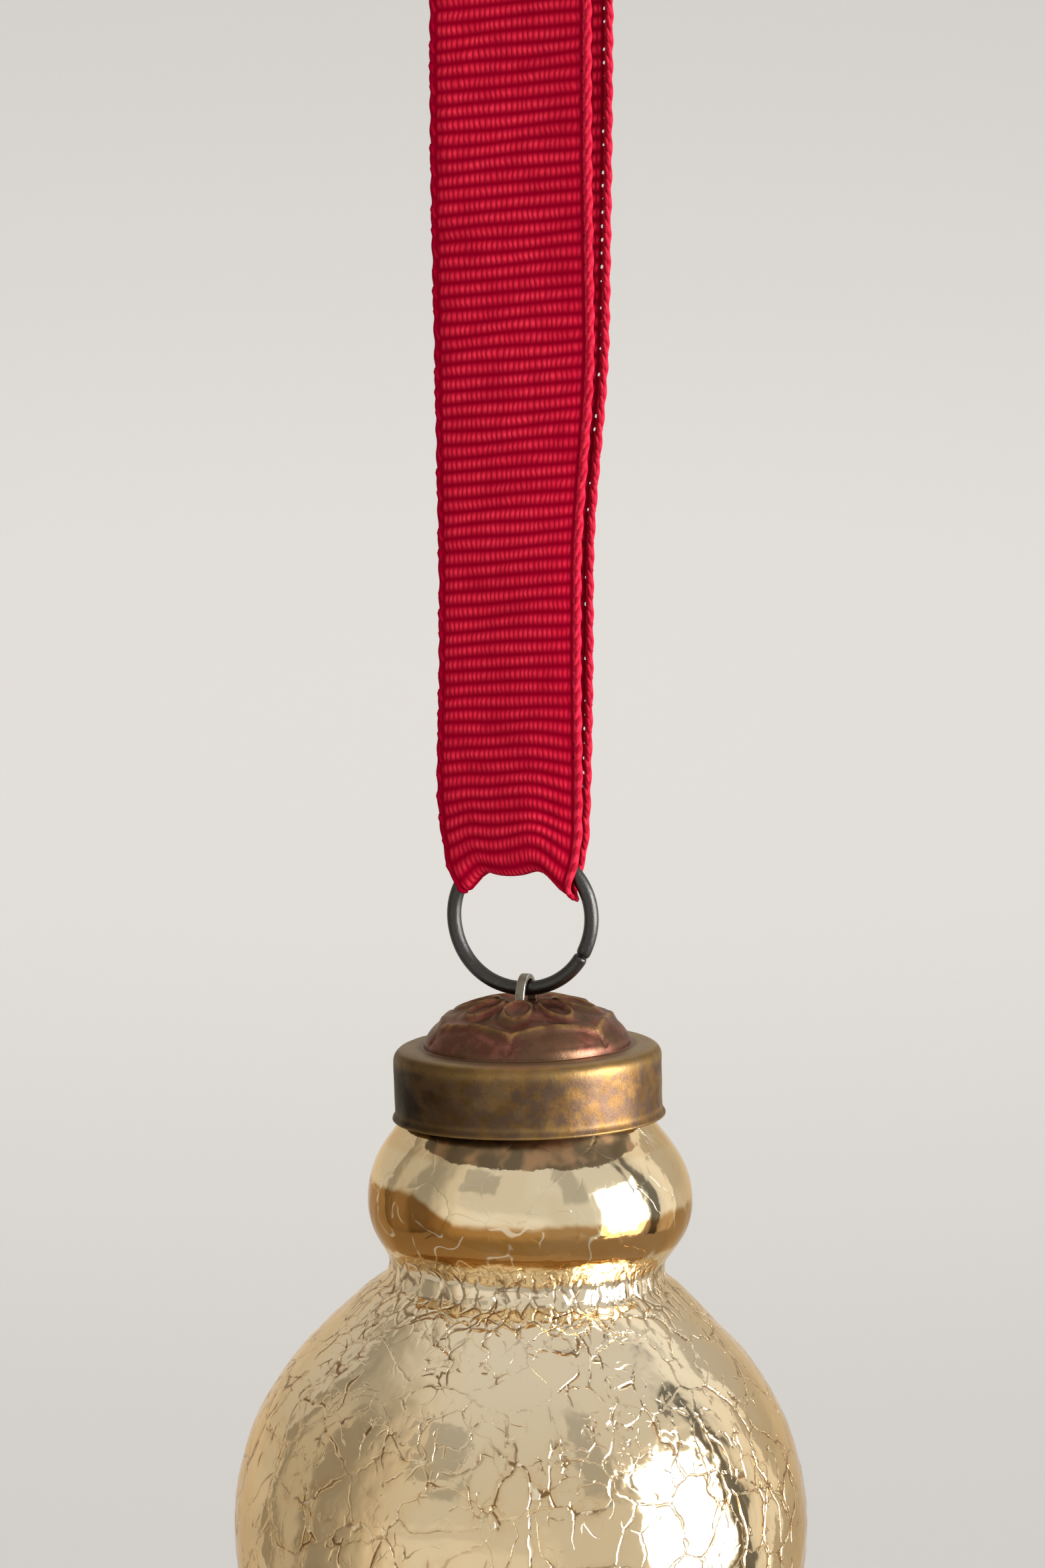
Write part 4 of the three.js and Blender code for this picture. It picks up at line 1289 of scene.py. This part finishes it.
def silvered_finish():
    """Champagne silvering with brown cracks and painted glints along them, amber stains, painted
    reflections on the bulb and the sphere's shoulder, and a dark ragged rim by the cap.
    """
    finish = Finish("silvered_glass")
    place = finish.millimetres()
    x, y, height = finish.parts(place)
    cell, fine_cell = setting("glass", "cell"), setting("glass", "fine_cell")
    large, fine, strong, slight, waist, _ = crackle(finish, place, cell, fine_cell)
    upright = streaks(finish, place)
    run, running = long_cracks(finish, place)
    jitter = finish.cloud(place, 1.3, 2.0)
    width = 0.025 + 0.105 * jitter
    line = (1 - (large / width).fades(0.5, 1.5)) * strong
    thin = (1 - (fine / (width * 0.8)).fades(0.5, 1.5)) * slight
    stroke = (1 - (upright / width).fades(0.5, 1.6)) * waist
    tear = (1 - (run / width).fades(0.5, 1.5)) * running
    cracks = line.at_least(thin).at_least(stroke * 0.8).at_least(tear)
    stain = (1 - large.fades(0.0, 0.9)) * strong * 0.32 + (1 - fine.fades(0.0, 0.5)) * slight * 0.25
    stain = stain + (1 - run.fades(0.0, 0.7)) * running * 0.3
    cloudy = finish.cloud(place, 0.10, 3.0)
    silver = setting("glass", "silvering")
    amber = setting("glass", "amber")
    base = finish.colour(cloudy.fades(0.38, 0.62) * 0.5, silver, (0.80, 0.655, 0.415, 1))
    base = finish.colour((stain + waist * 0.15).at_most(1.0), base, amber)
    swirl = finish.cloud(finish.wander(place, 0.3, 3.0), 0.35, 2.0)
    left = 0 - x * 0.95 - y * 0.31
    # Painted reflection: the amber band under the bulb, deeper on the camera's left
    band = painted_amber_reflection(height, left, swirl)
    base = finish.colour(band.at_most(1.0), base, (0.47, 0.222, 0.048, 1))
    base = finish.colour(band * left.fades(0, 11) * 0.5, base, (0.34, 0.145, 0.028, 1))
    # Painted light: the sphere's shoulder and upper part in a paler cream
    upper = height.fades(-157.0, -145.0) * (1 - height.fades(-139.0, -138.4))
    base = finish.colour(upper * 0.7, base, (0.98, 0.855, 0.63, 1))
    # Painted reflection: a paler ring round the bulb above the amber band, standing for the bright room
    # that it faces
    pale = height.within(*BRIGHT_REFLECTION_ZONE, 0.3) * 0.6 * (1 - band)
    base = finish.colour(pale, base, (1.0, 0.87, 0.61, 1))
    # Painted highlight: the thin glinting lines over the bulb
    base = finish.colour(bulb_glint_lines(finish, place, height), base, GLINT_CREAM)
    blush = finish.cloud(finish.wander(place, 0.2, 5.0), 0.16, 2.0)
    blush = height.within(*BLUSH_ZONE, 0.6) * blush.fades(0.46, 0.66) * 0.15
    base = finish.colour(blush, base, amber)
    # A dark ragged rim below the neck, in a mottled dark brown
    dark_rim = ragged_dark_rim(finish, place)
    rust = finish.colour(swirl.fades(0.42, 0.60), (0.185, 0.130, 0.070, 1), (0.44, 0.26, 0.13, 1))
    base = finish.colour(dark_rim, base, rust)
    # Painted highlight: bright glints along some of the cracks, in place of their brown
    painted_glint = finish.cloud(place, 0.9, 2.0).fades(0.50, 0.58)
    crack_and_glint_colour = finish.colour(painted_glint, setting("glass", "crack"), GLINT_CREAM)
    base = finish.colour(cracks * 0.88, base, crack_and_glint_colour)
    rough = 0.06 + cloudy * 0.05 + cracks * 0.20 + dark_rim * 0.18
    groove = (1 - (large / 0.22).fades(0.0, 1.0)) * strong
    groove = groove + (1 - (fine / 0.18).fades(0.0, 1.0)) * slight * 0.8
    groove = groove + (1 - (upright / 0.25).fades(0.0, 1.0)) * waist * 0.8
    groove = groove + (1 - (run / 0.22).fades(0.0, 1.0)) * running
    skin = finish.cloud(place, 0.8, 1.0) * 0.03
    return finish.shade({
        "Base Color": base, "Metallic": 1.0, "Roughness": rough,
        "Normal": finish.relief(skin - groove * 0.075),
        "Specular Tint": (0.88, 0.70, 0.46, 1), "Coat Weight": 0.28, "Coat Roughness": 0.03})


def build_glass():
    radius = setting("glass", "diameter") / 2
    outline, outer_rows = glass_outline(radius, setting("glass", "wall"), GLASS_ROWS, LINING_ROWS)
    vertices, faces, rows = turned(outline, GLASS_SEGMENTS)
    finish = silvered_finish()
    piece = make_piece("glass_drop", carried(blown(vertices), glass_frame()), faces, finish)
    height = vertices[:, 2]
    lip = NECK_HEIGHT - SKIRT_HEIGHT
    outer = (rows < outer_rows) * (1 - smooth(height, lip + 0.6, lip + 1.6))
    set_values(piece, "outer", outer)
    tree, identifiers = crackle_tree(finish)
    run_modifier(piece, tree, identifiers, [CELL_RISE, UNDULATION])
    hand_over(piece, "glass_body")
    return piece


# Stage

def facing(azimuth, elevation):
    """Direction from the ornament, with azimuth 0 towards -Y and 90 towards +X."""
    return Vector((
        math.sin(azimuth) * math.cos(elevation),
        -math.cos(azimuth) * math.cos(elevation),
        math.sin(elevation)))


def add_softbox(name, azimuth, elevation, distance, size, power):
    data = bpy.data.lights.new(name, "AREA")
    data.shape = "RECTANGLE"
    data.size, data.size_y = size
    data.energy = power
    lamp = bpy.data.objects.new(name, data)
    direction = facing(azimuth, elevation)
    lamp.location = Vector((0, 0, -0.15)) + direction * distance
    lamp.rotation_mode = "QUATERNION"
    lamp.rotation_quaternion = direction.to_track_quat("Z", "Y")
    bpy.context.scene.collection.objects.link(lamp)


def paper_finish(colour):
    """Pale paper with a painted pool of light: a little darker away from the height where the ornament's
    cap hangs.
    """
    finish = Finish("pale_paper")
    place = finish.node("ShaderNodeTexCoord").outputs["Object"]
    edge = abs(finish.height(place) + 0.33).fades(0.02, 0.46)
    darker = tuple(part * 0.86 for part in colour[:3]) + (1,)
    tone = finish.colour(edge, colour, darker)
    return finish.shade({"Base Color": tone, "Roughness": 0.95, "Specular IOR Level": 0.0})


def build_backdrop(azimuth):
    """A floor that curves up into a wall behind the ornament."""
    floor, bend, front, back, top = -1500.0, 600.0, -1200.0, 2100.0, 2600.0
    line = [(front, floor), (back - bend, floor)]
    for step in range(1, 24):
        angle = -math.pi / 2 + math.pi / 2 * step / 24
        line.append((back - bend + bend * math.cos(angle), floor + bend + bend * math.sin(angle)))
    line.append((back, floor + bend))
    line.append((back, top))
    vertices, faces = [], []
    for depth, height in line:
        vertices.extend([(-3200.0, depth, height), (3200.0, depth, height)])
    for row in range(len(line) - 1):
        low = row * 2
        faces.append((low, low + 1, low + 3, low + 2))
    turn = Matrix.Rotation(azimuth, 4, "Z")
    finish = paper_finish(setting("stage", "paper"))
    backdrop = make_piece("backdrop", carried(vertices, turn), faces, finish)


ROOM_LIGHT = 0.67
DAYLIGHT = (1.0, 0.985, 0.955, 1)
WARM_LIGHT = (1.0, 0.91, 0.77, 1)

# Panels of the room: turn from the camera and rise in degrees, each from, to and softness, and light
PANELS = (
    ((-165, -70, 14), (-40, 50, 14), -0.36),
    ((-116, -98, 4), (-30, 40, 8), 0.20),
    (None, (-100, -22, 7), -0.20),
    ((-57, -27, 1.5), (29, 53, 1.5), -0.22),
    ((-58, 12, 6), (-20, 8, 5), 0.12),
    ((93, 104, 1.5), (-40, 45, 4), -0.52),
    ((108, 170, 8), (-30, 60, 10), 0.25),
    ((26, 46, 3), (22, 60, 5), -0.22),
)


def build_world(azimuth):
    """A pale room, darker and warmer to the left, with a grey blind and a dark edge by the softbox."""
    world = bpy.data.worlds.new("Studio")
    bpy.context.scene.world = world
    world.use_nodes = True
    graph = Graph(world.node_tree)
    direction = graph.node("ShaderNodeTexCoord").outputs["Generated"]
    ahead, aside = facing(azimuth, 0), facing(azimuth + math.pi / 2, 0)
    dot = {"operation": "DOT_PRODUCT"}
    toward = graph.term("ShaderNodeVectorMath", 1, dot, {0: direction, 1: tuple(ahead)})
    right = graph.term("ShaderNodeVectorMath", 1, dot, {0: direction, 1: tuple(aside)})
    turn = right.angle_to(toward) * math.degrees(1)
    rise = graph.height(direction).arcsine() * math.degrees(1)
    room = ROOM_LIGHT
    for sideways, upright, light in PANELS:
        panel = rise.within(*upright)
        if sideways:
            panel = turn.within(*sideways) * panel
        room = panel * light + room
    warm = turn.within(-150, -52, 16) * rise.within(-55, 60, 14)
    tint = graph.colour(warm, DAYLIGHT, WARM_LIGHT)
    sky = graph.node("ShaderNodeBackground", None, {"Color": tint, "Strength": room})
    graph.node("ShaderNodeOutputWorld", None, {"Surface": sky.outputs[0]})


def add_fill(azimuth):
    """Soft light from above the camera, which no mirror shows."""
    data = bpy.data.lights.new("fill", "SUN")
    data.energy = 1.1
    data.angle = math.radians(70)
    lamp = bpy.data.objects.new("fill", data)
    lamp.rotation_mode = "QUATERNION"
    lamp.rotation_quaternion = facing(azimuth - math.radians(10), math.radians(35)).to_track_quat("Z", "Y")
    lamp.visible_glossy = False
    bpy.context.scene.collection.objects.link(lamp)


SOFTBOX_TURN = math.radians(70)
SOFTBOX_RISE = math.radians(6)


def build_stage():
    azimuth = setting("stage", "azimuth")
    build_world(azimuth)
    build_backdrop(azimuth)
    add_softbox("softbox", azimuth + SOFTBOX_TURN, SOFTBOX_RISE, 0.95, (0.38, 0.76), 14.5)
    add_softbox("softbox_halo", azimuth + SOFTBOX_TURN, SOFTBOX_RISE, 1.0, (0.72, 1.05), 8)
    add_fill(azimuth)
    data = bpy.data.cameras.new("camera")
    data.sensor_width = 36
    data.lens = setting("stage", "lens")
    data.clip_start, data.clip_end = 0.01, 20
    camera = bpy.data.objects.new("camera", data)
    level = facing(azimuth, 0) * (setting("stage", "distance") * MM)
    camera.location = (level.x, level.y, setting("stage", "camera_height") * MM)
    aim = Vector((0, 0, setting("stage", "aim_height") * MM))
    camera.rotation_mode = "QUATERNION"
    camera.rotation_quaternion = (aim - camera.location).to_track_quat("-Z", "Y")
    scene = bpy.context.scene
    scene.collection.objects.link(camera)
    scene.camera = camera
    scene.view_settings.view_transform = "Standard"
    scene.view_settings.look = "None"


# Operators, one for each piece and one for the stage

class ORNAMENT_OT_ribbon(bpy.types.Operator):
    """Weaves the ribbon loop with its ribs, selvedges and stitched lap"""
    bl_idname = "ornament.ribbon"
    bl_label = "Ribbon loop"

    def execute(self, context):
        build_ribbon()
        return {"FINISHED"}


class ORNAMENT_OT_ring(bpy.types.Operator):
    """Bends the jump ring, with its butt joint"""
    bl_idname = "ornament.ring"
    bl_label = "Jump ring"

    def execute(self, context):
        build_ring()
        return {"FINISHED"}


class ORNAMENT_OT_eye(bpy.types.Operator):
    """Bends the flat strip that the ring passes through"""
    bl_idname = "ornament.eye"
    bl_label = "Hanger eye"

    def execute(self, context):
        build_eye()
        return {"FINISHED"}


class ORNAMENT_OT_cap(bpy.types.Operator):
    """Presses the brass cap with its petals and lobed ridge"""
    bl_idname = "ornament.cap"
    bl_label = "Brass cap"

    def execute(self, context):
        build_cap()
        return {"FINISHED"}


class ORNAMENT_OT_glass(bpy.types.Operator):
    """Blows the crackled glass drop"""
    bl_idname = "ornament.glass"
    bl_label = "Glass drop"

    def execute(self, context):
        build_glass()
        return {"FINISHED"}


class ORNAMENT_OT_stage(bpy.types.Operator):
    """Sets the backdrop, the lights and the camera"""
    bl_idname = "ornament.stage"
    bl_label = "Stage"

    def execute(self, context):
        build_stage()
        return {"FINISHED"}


OPERATORS = (
    ORNAMENT_OT_stage, ORNAMENT_OT_ribbon, ORNAMENT_OT_ring, ORNAMENT_OT_eye, ORNAMENT_OT_cap,
    ORNAMENT_OT_glass)


class ORNAMENT_PT_panel(bpy.types.Panel):
    """Lists the ornament's pieces with their sizes and colours"""
    bl_idname = "ORNAMENT_PT_panel"
    bl_label = "Glass drop ornament"
    bl_space_type = "VIEW_3D"
    bl_region_type = "UI"
    bl_category = "Ornament"

    def draw(self, context):
        for operator in OPERATORS:
            box = self.layout.box()
            box.operator(operator.bl_idname)
            group = getattr(context.scene, operator.bl_idname.replace(".", "_"))
            for name in group.__annotations__:
                box.prop(group, name)


def register():
    for name, group in SETTINGS.items():
        bpy.utils.register_class(group)
        setattr(bpy.types.Scene, "ornament_" + name, PointerProperty(type=group))
    for operator in OPERATORS:
        bpy.utils.register_class(operator)
    bpy.utils.register_class(ORNAMENT_PT_panel)


def unregister():
    bpy.utils.unregister_class(ORNAMENT_PT_panel)
    for operator in reversed(OPERATORS):
        bpy.utils.unregister_class(operator)
    for name, group in reversed(SETTINGS.items()):
        delattr(bpy.types.Scene, "ornament_" + name)
        bpy.utils.unregister_class(group)


def main():
    register()
    bpy.ops.ornament.stage()
    bpy.ops.ornament.ribbon()
    bpy.ops.ornament.ring()
    bpy.ops.ornament.eye()
    bpy.ops.ornament.cap()
    bpy.ops.ornament.glass()


if __name__ == "__main__":
    main()
